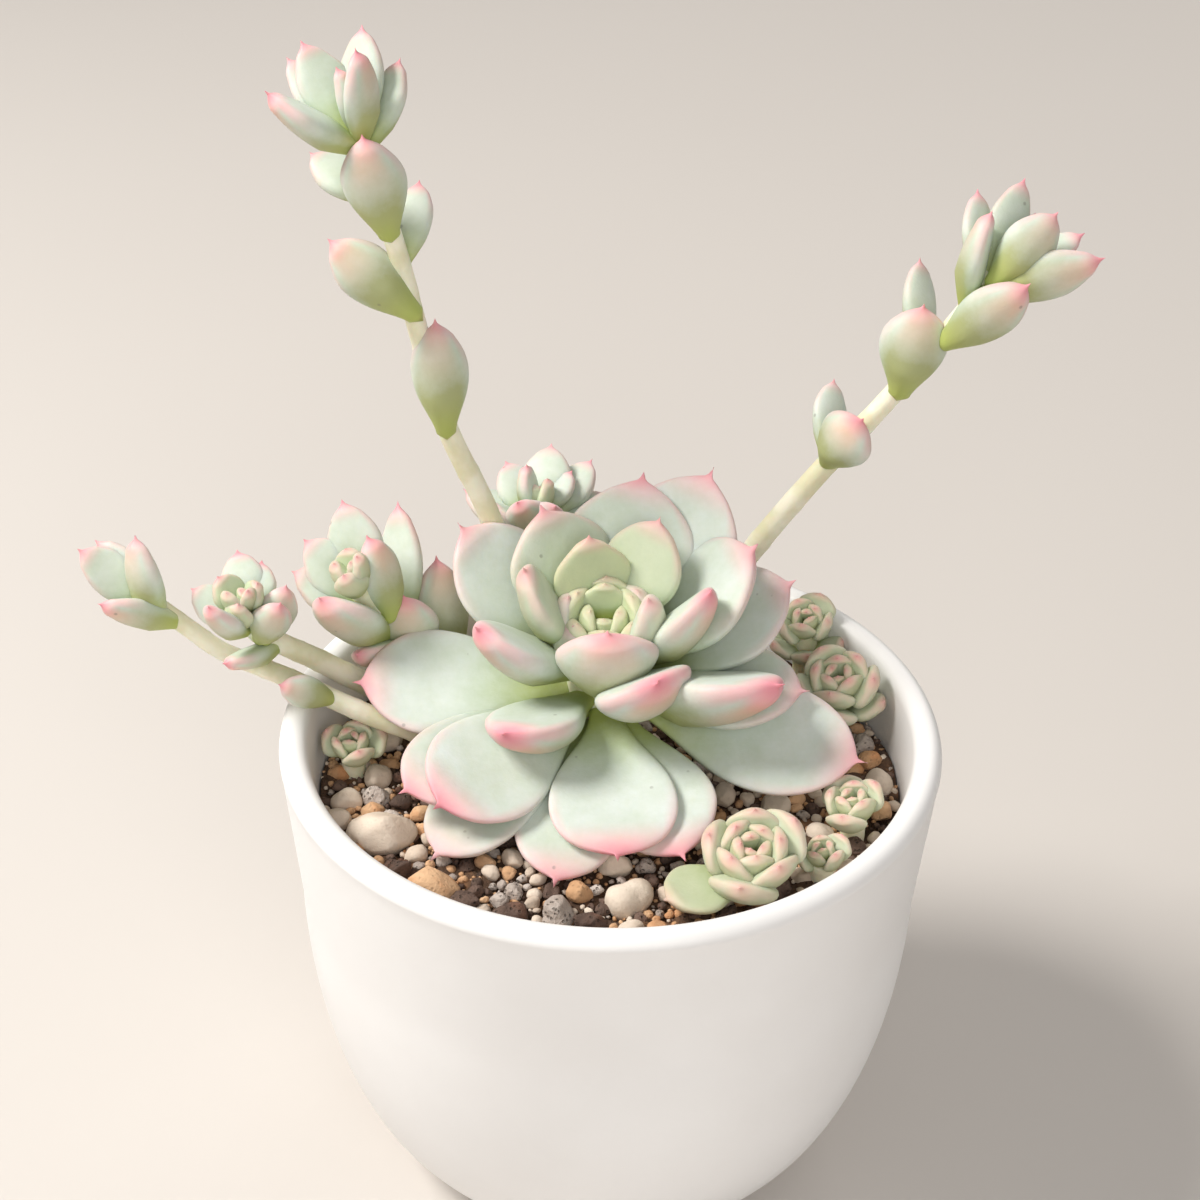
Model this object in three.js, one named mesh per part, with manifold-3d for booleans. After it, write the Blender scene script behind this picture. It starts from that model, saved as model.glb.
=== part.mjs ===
// A potted Graptopetalum macdougallii: a white bowl-shaped pot filled with gritty soil, one large
// rosette leaning towards the front, smaller rosettes on runners, two tall stems and young offsets.
// Millimetres, +Z up, front of the pot towards -Y, origin at the centre of the pot's underside.
import * as THREE from 'three';
import { mergeVertices } from 'three/addons/utils/BufferGeometryUtils.js';
import Module from 'manifold-3d';

const wasm = await Module();
wasm.setup();

// Pot: outside shape, wall and floor
const POT_HEIGHT = 62;
const RIM_RADIUS = 40;
const BELLY_RADIUS = 38.1;
const BELLY_HEIGHT = 41.3;
const FOOT_RADIUS = 20.6;
const WALL = 3.5;
const FLOOR = 4.5;
const POT_SIDES = 36;

// Soil: level, gap to the wall, and the depth of the holes that the stems stand in
const SOIL_LEVEL = 53;
const SOIL_GAP = 0.3;
const HOLE_BOTTOM = 46;
const HOLE_GAP = 0.3;
const PEBBLE_COUNT = 20;
const PEBBLE_SEED = 11;
const PEBBLE_CLEARANCE = 0.35;

// Leaves: how finely each kind is faceted
const MAIN_SIDES = 7;
const MAIN_RINGS = 5;
const SHOOT_SIDES = 6;
const SHOOT_RINGS = 4;
const OFFSET_SIDES = 5;
const OFFSET_RINGS = 3;
const MUCRO = 0.05;
const GOLDEN_ANGLE = 137.5;

// Colours
const CERAMIC = 0xf2efea;
const GRIT = 0x9a8068;
const LEAF = 0xb9cdb4;
const YOUNG_LEAF = 0xa9bd9b;

const rad = THREE.MathUtils.degToRad;
const vec = (x, y, z) => new THREE.Vector3(x, y, z);

// A repeatable random sequence between 0 and 1
function dice(seed) {
  let state = seed >>> 0;
  return () => {
    state = (Math.imul(state, 1664525) + 1013904223) >>> 0;
    return state / 4294967296;
  };
}

// Turns a closed geometry into a solid that can be joined and cut
function solid(geometry) {
  const bare = geometry.clone();
  bare.deleteAttribute('normal');
  bare.deleteAttribute('uv');
  const merged = mergeVertices(bare, 1e-4);
  return new wasm.Manifold(new wasm.Mesh({
    numProp: 3,
    vertProperties: new Float32Array(merged.attributes.position.array),
    triVerts: new Uint32Array(merged.index.array),
  }));
}

function geometryOf(body) {
  const mesh = body.getMesh();
  const geometry = new THREE.BufferGeometry();
  geometry.setAttribute('position', new THREE.BufferAttribute(mesh.vertProperties, 3));
  geometry.setIndex(new THREE.BufferAttribute(mesh.triVerts, 1));
  geometry.computeVertexNormals();
  return geometry;
}

// Joins solids into one, and fills any hollow that the joining has sealed inside
function join(bodies) {
  const whole = bodies.reduce((all, body) => all.add(body));
  const filled = whole.decompose().filter((body) => body.volume() > 0);
  return filled.reduce((all, body) => all.add(body));
}

// A closed skin over a row of rings with a point at each end
function skin(rings, first, last) {
  const sides = rings[0].length;
  const points = rings.flat();
  const faces = [];
  for (let r = 0; r < rings.length - 1; r += 1) {
    for (let k = 0; k < sides; k += 1) {
      const a = r * sides + k;
      const b = r * sides + ((k + 1) % sides);
      faces.push(a, b, a + sides, b, b + sides, a + sides);
    }
  }
  const start = points.length;
  points.push(first, last);
  const top = (rings.length - 1) * sides;
  for (let k = 0; k < sides; k += 1) {
    const next = (k + 1) % sides;
    faces.push(start, next, k, start + 1, top + k, top + next);
  }
  const geometry = new THREE.BufferGeometry();
  geometry.setAttribute('position', new THREE.Float32BufferAttribute(points.flatMap((p) => p.toArray()), 3));
  geometry.setIndex(faces);
  return geometry;
}

// Half-width of a leaf along its length: narrow root, widest beyond the middle, rounded tip.
// point = 0 is spoon shaped, point = 1 is nearly triangular.
function leafOutline(t, point) {
  const widest = 0.7 - 0.18 * point;
  const root = 0.26 + 0.14 * point;
  if (t < widest) return root + (1 - root) * Math.sin((Math.PI / 2) * (t / widest)) ** (2.0 - 0.9 * point);
  const u = (t - widest) / (1 - widest);
  return Math.max(0, 1 - u ** 2.1) ** Math.min(1, 0.52 + 0.55 * point);
}

// Thickness along the length: plump from a third of the way on, closing at the tip
function leafThickness(t) {
  return (0.45 + 0.55 * Math.min(1, t / 0.35)) * Math.max(0, 1 - t ** 4) ** 0.6 * (1 - 0.12 * t);
}

// One fleshy leaf. It leaves root along a direction, its upper side faces the given way, and it
// bends towards that side by bend degrees. roll turns it about its own length.
function leaf({ root, along, facing, long, wide, thick, bend, roll, point, sides, rings }) {
  const up = facing.clone().addScaledVector(along, -facing.dot(along)).normalize();
  const side = up.clone().cross(along).normalize();
  const curve = rad(bend) / long;
  const centre = (s) => {
    const a = curve * s;
    const forward = Math.abs(curve) < 1e-6 ? s : Math.sin(a) / curve;
    const lift = Math.abs(curve) < 1e-6 ? 0 : (1 - Math.cos(a)) / curve;
    return root.clone().addScaledVector(along, forward).addScaledVector(up, lift);
  };
  const loops = [];
  for (let r = 0; r < rings; r += 1) {
    const t = Math.sin((Math.PI / 2) * (r / rings)) ** 1.15;
    const s = t * (1 - MUCRO) * long;
    const normal = up.clone().multiplyScalar(Math.cos(curve * s))
      .addScaledVector(along, -Math.sin(curve * s));
    const half = (wide / 2) * leafOutline(t, point);
    const depth = thick * leafThickness(t);
    const loop = [];
    for (let k = 0; k < sides; k += 1) {
      const f = (2 * Math.PI * k) / sides;
      const y0 = half * Math.cos(f);
      const z0 = depth * (Math.sin(f) > 0 ? 0.36 : 0.64) * Math.sin(f);
      const y = y0 * Math.cos(rad(roll)) - z0 * Math.sin(rad(roll));
      const z = y0 * Math.sin(rad(roll)) + z0 * Math.cos(rad(roll));
      loop.push(centre(s).addScaledVector(side, y).addScaledVector(normal, z));
    }
    loops.push(loop);
  }
  return solid(skin(loops, centre(-1.2), centre(long)));
}

// A round stem through its points, thinning from the first radius to the last
function stem(points, thin, sides = 7, steps = 12, flatStart = true) {
  const path = new THREE.CatmullRomCurve3(points);
  const loops = [];
  for (let i = 0; i <= steps; i += 1) {
    const s = i / steps;
    const centre = path.getPoint(s);
    const ahead = flatStart && i === 0 ? vec(0, 0, 1) : path.getTangent(s);
    const side = vec(0, 1, 0.2).cross(ahead).normalize();
    const over = ahead.clone().cross(side);
    const radius = THREE.MathUtils.lerp(thin[0], thin[1], s);
    const loop = [];
    for (let k = 0; k < sides; k += 1) {
      const f = (2 * Math.PI * k) / sides;
      loop.push(centre.clone().addScaledVector(side, radius * Math.cos(f))
        .addScaledVector(over, radius * Math.sin(f)));
    }
    loops.push(loop);
  }
  return { path, body: solid(skin(loops, path.getPoint(0), path.getPoint(1))) };
}

const direction = (turn, rise) => vec(
  Math.cos(rad(turn)) * Math.cos(rad(rise)),
  Math.sin(rad(turn)) * Math.cos(rad(rise)),
  Math.sin(rad(rise)),
);

// The frame of a head: its origin on the plant and its axis leaning by some degrees towards a turn
function head(at, towards, by) {
  const lean = new THREE.Matrix4().makeRotationAxis(
    vec(-Math.sin(rad(towards)), Math.cos(rad(towards)), 0),
    rad(by),
  );
  return {
    place: (v) => v.clone().applyMatrix4(lean).add(at),
    turnTo: (v) => v.clone().applyMatrix4(lean),
    axis: vec(0, 0, 1).applyMatrix4(lean),
  };
}

// Large rosette: leaf, turn, rise, long, wide, thick, height on the core, bend, roll, point
const CORE_RADIUS = 5;
const CORE_TAPER = 0.2;
const MAIN_AT = vec(-1, 8, 60);
const MAIN_LEAVES = [
  ['front low', 260, 3, 26, 13, 4, 0.5, -5, 0, 0.2],
  ['on the grit', 233, 2, 28, 12.6, 4, 0.5, -6, 8, 0.15],
  ['left low', 221, 9, 27, 12.5, 4, 1, 0, -10, 0.2],
  ['front right low', 290, 4, 24, 13.5, 4, 1, -5, 5, 0.2],
  ['front', 274, 4, 23.8, 15.4, 4.4, 2.4, -6, 0, 0],
  ['front left', 230, 5, 26, 14.6, 4.4, 2.5, 4, -14, 0.15],
  ['left', 187, 4, 26.5, 14.8, 4.4, 3, 5, -12, 0.3],
  ['right', 337, -6, 30, 15, 4.4, 2.7, 16, 16, 0.35],
  ['right second', 348, 8, 21.5, 14, 4.4, 3.5, 5, 0, 0.45],
  ['back right low', 16, 22, 22.5, 15.5, 4.4, 4.5, 8, 0, 0.5],
  ['back left', 147, 32, 22, 15, 4.4, 5, 10, 0, 0.5],
  ['back right', 53, 38, 24.7, 16.6, 4.6, 6, 10, 0, 0.6],
  ['back', 75, 42, 20.8, 16, 4.6, 7, 10, 0, 0.6],
  ['back low', 100, 12, 17, 13, 4, 3, 5, 0, 0.5],
  ['front left raised', 235, 18, 18, 11.5, 6, 3.6, 16, 20, 0.35],
  ['right raised', 335, 21, 22.5, 11.5, 6.6, 4.4, 16, -26, 0.35],
  ['right upper', 18, 36, 21, 15, 4.8, 7, 12, 0, 0.55],
  ['left raised', 203, 35, 17.5, 9.8, 5.8, 6.8, 16, 16, 0.45],
  ['front right raised', 299, 36, 13.5, 12.5, 6, 5.4, 22, 0, 0.3],
  ['back left upper', 125, 46, 17, 14, 4.6, 8.5, 12, 0, 0.7],
  ['right inner', 350, 45, 16.5, 8.6, 5.4, 8, 20, -20, 0.4],
  ['back right upper', 54, 52, 15.2, 10.6, 4.4, 9.5, 12, 0, 0.6],
  ['left inner', 178, 56, 14.5, 9, 4.8, 9, 15, 10, 0.4],
  ['front inner', 274, 58, 11.8, 12.5, 5.8, 6.2, 30, 0, 0.3],
  ['back inner', 108, 66, 11.3, 10.6, 3.6, 10.5, 12, 0, 0.95],
  ['right bud', 345, 70, 10.8, 7.4, 4.8, 8.4, 18, 0, 0.5],
  ['bud', 165, 74, 9, 7.4, 3.8, 8.6, 22, 0, 0.6],
  ['bud', 212, 72, 8.2, 7, 4, 8, 26, 0, 0.4],
  ['bud', 30, 74, 8.8, 7, 3.8, 9, 20, 0, 0.5],
  ['bud', 85, 76, 6, 7, 3, 11, 16, 0, 0.9],
  ['bud', 240, 70, 6.2, 6, 3.6, 8.6, 34, 0, 0.5],
  ['bud', 310, 70, 6.6, 6, 3.6, 8.8, 34, 0, 0.5],
  ['bud', 150, 76, 5, 5, 2.8, 11, 26, 0, 0.7],
  ['bud heart', 270, 72, 4.6, 4.8, 2.8, 10.6, 36, 0, 0.6],
  ['bud heart', 20, 76, 4.8, 4.6, 2.6, 11, 28, 0, 0.7],
  ['bud heart', 90, 80, 2.8, 3.2, 1.8, 12.6, 20, 0, 0.8],
];

function mainRosette() {
  const frame = head(MAIN_AT, 270, 12);
  const core = new THREE.LatheGeometry([
    new THREE.Vector2(0, -4), new THREE.Vector2(CORE_RADIUS - 0.6, -2), new THREE.Vector2(CORE_RADIUS, 1),
    new THREE.Vector2(CORE_RADIUS - 1.2, 7), new THREE.Vector2(2.2, 12), new THREE.Vector2(0, 13.2),
  ], 10);
  core.rotateX(Math.PI / 2);
  core.rotateX(rad(12));
  core.translate(...MAIN_AT.toArray());
  const trunk = stem([vec(-1, 9, HOLE_BOTTOM), vec(-1, 9, 54), vec(-1, 8, 62)], [4, 4.2], 10, 4);
  const leaves = MAIN_LEAVES.map(([, turn, rise, long, wide, thick, high, bend, roll, point]) => {
    const out = direction(turn, 0);
    return leaf({
      root: frame.place(out.clone().multiplyScalar(CORE_RADIUS - CORE_TAPER * high).add(vec(0, 0, high))),
      along: frame.turnTo(direction(turn, rise)),
      facing: frame.axis,
      long, wide, thick, bend, roll, point,
      sides: long > 17 ? MAIN_SIDES : (long > 9 ? SHOOT_SIDES : 5),
      rings: long > 17 ? MAIN_RINGS : (long > 9 ? 4 : 3),
    });
  });
  return join([trunk.body, solid(core), ...leaves]);
}

// Shoots: a stem from the soil through its points, and leaves given by
// place along the stem, turn, rise, long, wide, thick, bend, point and, where the leaf sits on one
// face of the stem, the turn that its upper side looks towards
const LEAF_SEAT = 1.2;
const SHOOTS = {
  tall_left_stem: {
    radii: [1.6, 1],
    points: [[-10.5, 20, HOLE_BOTTOM], [-10.5, 20, 56], [-12.4, 20, 66], [-15.3, 20, 78.4],
      [-20.4, 20, 91.2], [-23.3, 19.5, 103.6], [-25.7, 18.5, 115.8], [-27.8, 18, 123],
      [-29.6, 18, 129.5]],
    leaves: [
      [0.5, 215, 85, 15, 7, 4.4, 10, 0.6, 90], [0.66, 184, 44, 13.6, 6.6, 4, 14, 0.6],
      [0.72, 77, 34, 11.1, 5, 3.4, 12, 0.6], [0.78, 234, 72, 13.4, 7.4, 4.4, 12, 0.6, 90],
      [0.85, 147, 14, 10.3, 5.8, 3.4, 12, 0.6], [0.97, 196, 31, 12.7, 6.6, 4, 10, 0.7],
      [0.99, 137, 42, 12.6, 6.4, 3.6, 10, 0.7], [0.98, 313, 82, 11.4, 6.2, 3.8, 10, 0.6],
      [0.99, 86, 49, 13, 5.8, 3.4, 8, 0.7], [0.96, 59, 39, 11.8, 5.6, 3.4, 12, 0.7],
      [0.99, 144, 30, 12.4, 5.4, 3, 12, 0.7], [0.99, 185, 80, 8.6, 4, 2.6, 8, 0.8],
    ],
  },
  right_stem: {
    radii: [1.7, 1.1],
    points: [[11, 26, HOLE_BOTTOM], [11.2, 26, 57], [14, 26, 64], [18.3, 26, 71.3],
      [25.3, 25, 82.4], [32.1, 24, 92.3], [38.6, 23, 102.3], [44, 22, 111.5]],
    leaves: [
      [0.6, 90, 32, 11.4, 5.2, 3.2, 14, 0.6], [0.6, 307, 61, 8.6, 7.6, 5.2, 20, 0.5],
      [0.82, 97, 43, 12.8, 5.2, 3.4, 10, 0.6], [0.76, 336, 79, 12, 8.4, 5.2, 14, 0.5, 90],
      [0.865, 325, 44, 14, 6.8, 4.6, 10, 0.6, 90], [0.93, 22, 87, 12.7, 6.4, 3.8, 10, 0.7],
      [0.98, 101, 44, 11.7, 5.4, 3.2, 10, 0.7], [0.99, 66, 45, 13, 5.4, 3.2, 8, 0.7],
      [0.99, 8, 50, 11.2, 6.4, 4.4, 8, 0.6, 90], [0.99, 15, 20, 12.3, 5, 3, 8, 0.7],
      [0.97, 350, 22, 14.5, 6, 3.8, 8, 0.7, 90], [0.99, 51, 32, 10.2, 5, 3, 8, 0.7],
    ],
  },
  left_runner: {
    radii: [1.4, 1.1],
    points: [[-20, 3, HOLE_BOTTOM], [-20, 3, 51], [-20.5, 3, 55], [-24, 2.5, 58.2],
      [-29.1, 2, 60.9], [-34, 2.4, 63.2], [-38.8, 4, 64.7], [-42.8, 6.5, 64.7],
      [-47.8, 8, 66], [-51.6, 8, 69.3], [-55.1, 8, 72.5]],
    leaves: [
      [0.985, 171, 36, 12.6, 5.8, 4, 10, 0.6], [0.985, 151, 40, 11.6, 5.2, 3.4, 10, 0.6],
      [0.96, 180, 73, 11.5, 5.8, 4, 14, 0.6, 45], [0.93, 203, 31, 11, 5.4, 3.4, -8, 0.6],
      [0.49, 209, 32, 8.2, 4.2, 2.8, 6, 0.6],
    ],
  },
  left_small_rosette: {
    radii: [1.7, 1.2],
    points: [[-25, 12, HOLE_BOTTOM], [-25, 12, 51], [-25.2, 12, 55], [-28, 11, 57.8],
      [-32.3, 9.8, 61.2], [-36.6, 8.5, 64.8], [-40.2, 7.5, 67.5], [-43.1, 6, 70.5],
      [-44.3, 4.5, 75.4]],
    leaves: [
      [0.92, 104, 37, 9.1, 5.8, 3.4, 14, 0.6], [0.9, 155, 16, 8.9, 5.4, 3.2, 12, 0.6],
      [0.96, 167, 51, 5.8, 4.6, 2.8, 16, 0.6], [0.84, 359, 66, 8.2, 5, 3.4, 14, 0.6, 110],
      [0.9, 239, 39, 9.4, 4.8, 3.2, 18, 0.6, 60], [0.86, 311, 51, 8.2, 5, 3.4, 20, 0.6, 100],
      [0.76, 225, 2, 8.6, 4.6, 3, 8, 0.6], [0.97, 6, 58, 4.4, 4, 2.4, 18, 0.6],
      [0.93, 263, 50, 5.4, 3.8, 2.4, 24, 0.6, 70], [0.97, 236, 44, 5, 3.6, 2.2, 22, 0.6],
      [0.98, 304, 50, 4.6, 3.2, 2, 20, 0.7], [0.99, 304, 78, 2.6, 2.8, 1.8, 16, 0.8],
      [0.93, 77, 32, 7.6, 5, 3, 14, 0.6],
    ],
  },
  left_medium_rosette: {
    radii: [2, 1.5],
    points: [[-20, 16, HOLE_BOTTOM], [-20, 16, 51], [-20.3, 16, 56], [-23, 15, 60],
      [-26.3, 14.2, 64.2], [-29, 11.5, 70.2], [-31.5, 9.5, 76]],
    leaves: [
      [0.73, 226, 37, 13.5, 8.4, 5, 14, 0.5, 60], [0.56, 244, 72, 11, 7.2, 3.9, 14, 0.5, 90],
      [0.42, 95, 66, 15.5, 7.4, 4.4, 12, 0.6, 120], [0.8, 155, 82, 11.5, 6.6, 4.4, 12, 0.6, 150],
      [0.68, 89, 49, 17, 6.4, 4, 10, 0.7], [0.88, 113, 50, 12.9, 7.2, 4, 12, 0.7],
      [0.86, 153, 33, 11.7, 7, 4, 10, 0.7], [0.82, 172, 22, 11.8, 6.4, 3.8, 8, 0.6],
      [0.8, 172, 21, 9.7, 5.4, 3.4, 8, 0.6], [0.96, 128, 69, 5.2, 4.6, 2.8, 20, 0.7],
      [0.97, 211, 42, 5, 4, 2.6, 22, 0.7], [0.98, 311, 65, 5, 4, 2.6, 22, 0.7],
      [0.95, 255, 36, 5.4, 4.4, 2.8, 26, 0.7], [0.99, 285, 61, 4, 3, 2, 20, 0.8],
      [0.64, 231, 15, 8, 6.4, 3.8, 8, 0.5, 60],
    ],
  },
  rear_rosette: {
    radii: [2, 1.5],
    points: [[-7, 31, HOLE_BOTTOM], [-7.3, 31, 58], [-9.3, 32.5, 66], [-10.1, 33, 72]],
    leaves: [
      [0.9, 78, 34, 11, 6.8, 3.8, 10, 0.6], [0.88, 49, 20, 12, 7, 3.8, 10, 0.6],
      [0.96, 160, 72, 7.2, 4.6, 3, 14, 0.6], [0.9, 122, 25, 9.6, 6, 3.4, 12, 0.6],
      [0.84, 156, 12, 11.4, 6.6, 3.6, 8, 0.6], [0.93, 249, 41, 7.6, 5.6, 3.4, 18, 0.6, 90],
      [0.84, 27, 11, 10.6, 7, 3.8, 8, 0.6], [0.84, 208, 32, 9, 6.4, 3.6, 10, 0.6],
      [0.96, 42, 26, 7.5, 5, 3, 14, 0.6], [0.98, 359, 65, 5.2, 4.4, 2.6, 16, 0.7],
      [0.98, 226, 73, 4.6, 4, 2.4, 18, 0.7], [0.93, 295, 39, 7, 5.6, 3.4, 18, 0.6, 90],
      [0.99, 319, 70, 4, 3, 2, 18, 0.8],
    ],
  },
};

function shoot({ points, radii, leaves }) {
  const main = stem(points.map((p) => vec(...p)), radii, 6, 12);
  const fans = leaves.map(([place, turn, rise, long, wide, thick, bend, point, face]) => {
    const seated = face !== undefined;
    const facing = seated ? direction(face, 0) : main.path.getTangent(Math.min(0.97, place));
    return leaf({
      root: main.path.getPoint(place).addScaledVector(facing, seated ? -LEAF_SEAT : 0),
      along: direction(turn, rise),
      facing,
      long, wide, thick, bend, roll: 0, point,
      sides: long > 8.5 ? SHOOT_SIDES : 5,
      rings: long > 10 ? SHOOT_RINGS : 3,
    });
  });
  return join([main.body, ...fans]);
}

// Offsets: small rosettes close to the soil, their leaves set by the golden angle
// name: x, y, height of the heart, radius, number of leaves, first turn, lean towards, lean by
const OFFSETS = {
  offset_left: [-31.5, 1.4, 56.4, 5.4, 8, 20, 250, 14],
  offset_back_right: [25, 21.6, 62, 5.6, 8, 60, 250, 20],
  offset_right: [28.6, 11.2, 60, 7, 9, 200, 240, 22],
  offset_lower_right: [29, -9.8, 57, 5.8, 8, 110, 200, 14],
  offset_small: [24.8, -18, 56.2, 4.4, 6, 40, 200, 14],
  offset_front: [16.2, -20.6, 57.8, 8, 10, 255, 262, 18],
};
// One broad leaf of the front offset lies flat on the grit
const FLAT_LEAF = { turn: 207, rise: -4, long: 10.5, wide: 8.6, thick: 2.8, bend: 6, high: -1.6 };

function offset(name, [x, y, z, size, count, start, towards, by]) {
  const frame = head(vec(x, y, z), towards, by);
  const bodies = [stem([vec(x, y, HOLE_BOTTOM + 3), vec(x, y, z - 2.5), vec(x, y, z - 0.5)],
    [1.4, 1.6], 6, 3).body];
  const shape = { roll: 0, point: 0.45, sides: OFFSET_SIDES, rings: OFFSET_RINGS };
  for (let i = 0; i < count; i += 1) {
    const age = 1 - i / (count - 1);
    const turn = start + i * GOLDEN_ANGLE;
    const long = size * (0.42 + 0.48 * age);
    bodies.push(leaf({
      root: frame.place(direction(turn, 0).multiplyScalar(size * 0.12).add(vec(0, 0, 0.2 - 1.6 * age))),
      along: frame.turnTo(direction(turn, 76 - 52 * age)),
      facing: frame.axis,
      long,
      wide: long * (0.84 + 0.08 * age),
      thick: long * 0.46,
      bend: 36,
      ...shape,
    }));
  }
  if (name === 'offset_front') {
    const { turn, rise, high, ...sizes } = FLAT_LEAF;
    bodies.push(leaf({
      root: vec(x, y, z + high).addScaledVector(direction(turn, 0), 1),
      along: direction(turn, rise),
      facing: vec(0, 0, 1),
      ...sizes,
      ...shape,
      rings: SHOOT_RINGS,
    }));
  }
  return join(bodies);
}

// Pot: a lathe from the centre of the underside round the rounded lip and down to the inner floor
function outerRadius(z) {
  if (z >= BELLY_HEIGHT) {
    return THREE.MathUtils.lerp(BELLY_RADIUS, RIM_RADIUS, (z - BELLY_HEIGHT) / (POT_HEIGHT - BELLY_HEIGHT));
  }
  const t = 1 - z / BELLY_HEIGHT;
  return FOOT_RADIUS + (BELLY_RADIUS - FOOT_RADIUS) * Math.sqrt(Math.max(0, 1 - t * t));
}

function potProfile() {
  const outside = [0, 1, 4, 9, 17, 28, BELLY_HEIGHT, 59.6];
  const points = [new THREE.Vector2(0, 0), new THREE.Vector2(FOOT_RADIUS, 0)];
  outside.slice(1).forEach((z) => points.push(new THREE.Vector2(outerRadius(z), z)));
  const lip = WALL / 2;
  const middle = RIM_RADIUS - 0.08 - lip;
  [30, 65, 100, 140].forEach((a) => points.push(new THREE.Vector2(
    middle + lip * Math.cos(rad(a)),
    POT_HEIGHT - lip + lip * Math.sin(rad(a)) / Math.sin(rad(100)),
  )));
  [59.2, BELLY_HEIGHT, 28, 17, 9].forEach((z) => {
    points.push(new THREE.Vector2(outerRadius(z) - WALL, z));
  });
  points.push(new THREE.Vector2(outerRadius(FLOOR) - WALL - 2.5, FLOOR));
  points.push(new THREE.Vector2(0, FLOOR));
  return points;
}

function pot() {
  const geometry = new THREE.LatheGeometry(potProfile(), POT_SIDES);
  geometry.rotateX(Math.PI / 2);
  return solid(geometry);
}

// Soil: fills the pot to its level. Named stones are placed as seen, the others are drawn at random.
const STONES = [
  // x, y, length, width, height, turn
  [-27.2, -12, 7.8, 5.6, 4.6, 5], [2.6, -24.6, 5.8, 5.2, 4.6, 0], [-20.2, -23.4, 6.3, 4.6, 4, -15],
  [-25, -18.4, 3.8, 3.2, 3, 0], [-11, -27.6, 4.8, 4, 3.6, 20], [-4.8, -27.6, 4.2, 3.8, 3.4, 0],
  [-28.4, -0.6, 3.8, 3.4, 3.2, 60], [-31.8, -4.8, 3.6, 3.2, 3, 0], [33, 0, 3.8, 3, 3, 80],
];

function stone(x, y, length, width, height, turn, tilt) {
  const shape = new THREE.IcosahedronGeometry(0.5, 0);
  shape.rotateX(tilt);
  shape.scale(length, width, height);
  shape.rotateZ(rad(turn));
  shape.translate(x, y, SOIL_LEVEL + height * 0.12);
  return solid(shape);
}

function soil(standing) {
  const inner = (z) => outerRadius(z) - WALL - SOIL_GAP;
  const profile = [new THREE.Vector2(0, FLOOR), new THREE.Vector2(inner(FLOOR) - 2.8, FLOOR)];
  [9, 17, 28, BELLY_HEIGHT, SOIL_LEVEL].forEach((z) => profile.push(new THREE.Vector2(inner(z), z)));
  profile.push(new THREE.Vector2(0, SOIL_LEVEL));
  const bed = new THREE.LatheGeometry(profile, POT_SIDES);
  bed.rotateX(Math.PI / 2);
  let body = solid(bed);
  const wallGap = inner(SOIL_LEVEL);
  const plants = standing.map((s) => s.body);
  const stands = (s) => plants.every((plant) => plant.minGap(s, PEBBLE_CLEARANCE) >= PEBBLE_CLEARANCE);
  const roll = dice(PEBBLE_SEED);
  const laid = [];
  const lay = (x, y, length, width, height, turn) => {
    const reach = length / 2;
    if (Math.hypot(x, y) + reach > wallGap) return;
    if (laid.some((s) => Math.hypot(s[0] - x, s[1] - y) < (s[2] + reach) * 0.8)) return;
    const piece = stone(x, y, length, width, height, turn, roll() * 3);
    if (!stands(piece)) return;
    laid.push([x, y, reach]);
    body = body.add(piece);
  };
  STONES.forEach((row) => lay(...row));
  for (let i = 0; i < 700 && laid.length < PEBBLE_COUNT; i += 1) {
    const r = wallGap * Math.sqrt(0.1 + 0.9 * roll());
    const a = roll() * 2 * Math.PI;
    const length = 2.6 + 3.2 * roll() ** 2;
    lay(r * Math.cos(a), r * Math.sin(a), length, length * (0.7 + 0.25 * roll()),
      length * (0.6 + 0.2 * roll()), roll() * 180);
  }
  standing.forEach(({ at, radius, bottom }) => {
    const hole = new THREE.CylinderGeometry(radius, radius, 16, 16);
    hole.rotateX(Math.PI / 2);
    hole.translate(at[0], at[1], bottom + 8);
    body = body.subtract(solid(hole));
  });
  return body;
}

function node(name, body, colour, roughness) {
  const material = new THREE.MeshStandardMaterial({ color: colour, roughness, metalness: 0 });
  const mesh = new THREE.Mesh(geometryOf(body), material);
  mesh.name = name;
  return mesh;
}

const plant = new THREE.Group();
const standing = [];
const main = mainRosette();
standing.push({ body: main, at: [-1, 9], radius: 4 + HOLE_GAP, bottom: HOLE_BOTTOM });
plant.add(node('main_rosette', main, LEAF, 0.6));
for (const [name, spec] of Object.entries(SHOOTS)) {
  const body = shoot(spec);
  standing.push({ body, at: spec.points[0], radius: spec.radii[0] + HOLE_GAP, bottom: HOLE_BOTTOM });
  plant.add(node(name, body, LEAF, 0.6));
}
for (const [name, spec] of Object.entries(OFFSETS)) {
  const body = offset(name, spec);
  standing.push({ body, at: spec, radius: 1.4 + HOLE_GAP, bottom: HOLE_BOTTOM + 3 });
  plant.add(node(name, body, YOUNG_LEAF, 0.6));
}
plant.add(node('pot', pot(), CERAMIC, 0.5));
plant.add(node('soil', soil(standing), GRIT, 0.95));

export default plant;
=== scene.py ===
# %% [markdown]
# # A potted Graptopetalum macdougallii
#
# The CAD model gives every piece its place and size. This script dresses it: it builds smooth
# fleshy leaves, stalks, a glazed pot and loose grit in mesh code, and gives each of them a
# material made of nodes. Everything is in metres, with the pot standing on z = 0.

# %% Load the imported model
import math

import bmesh
import bpy
import numpy as np
from mathutils import Matrix, kdtree


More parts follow.
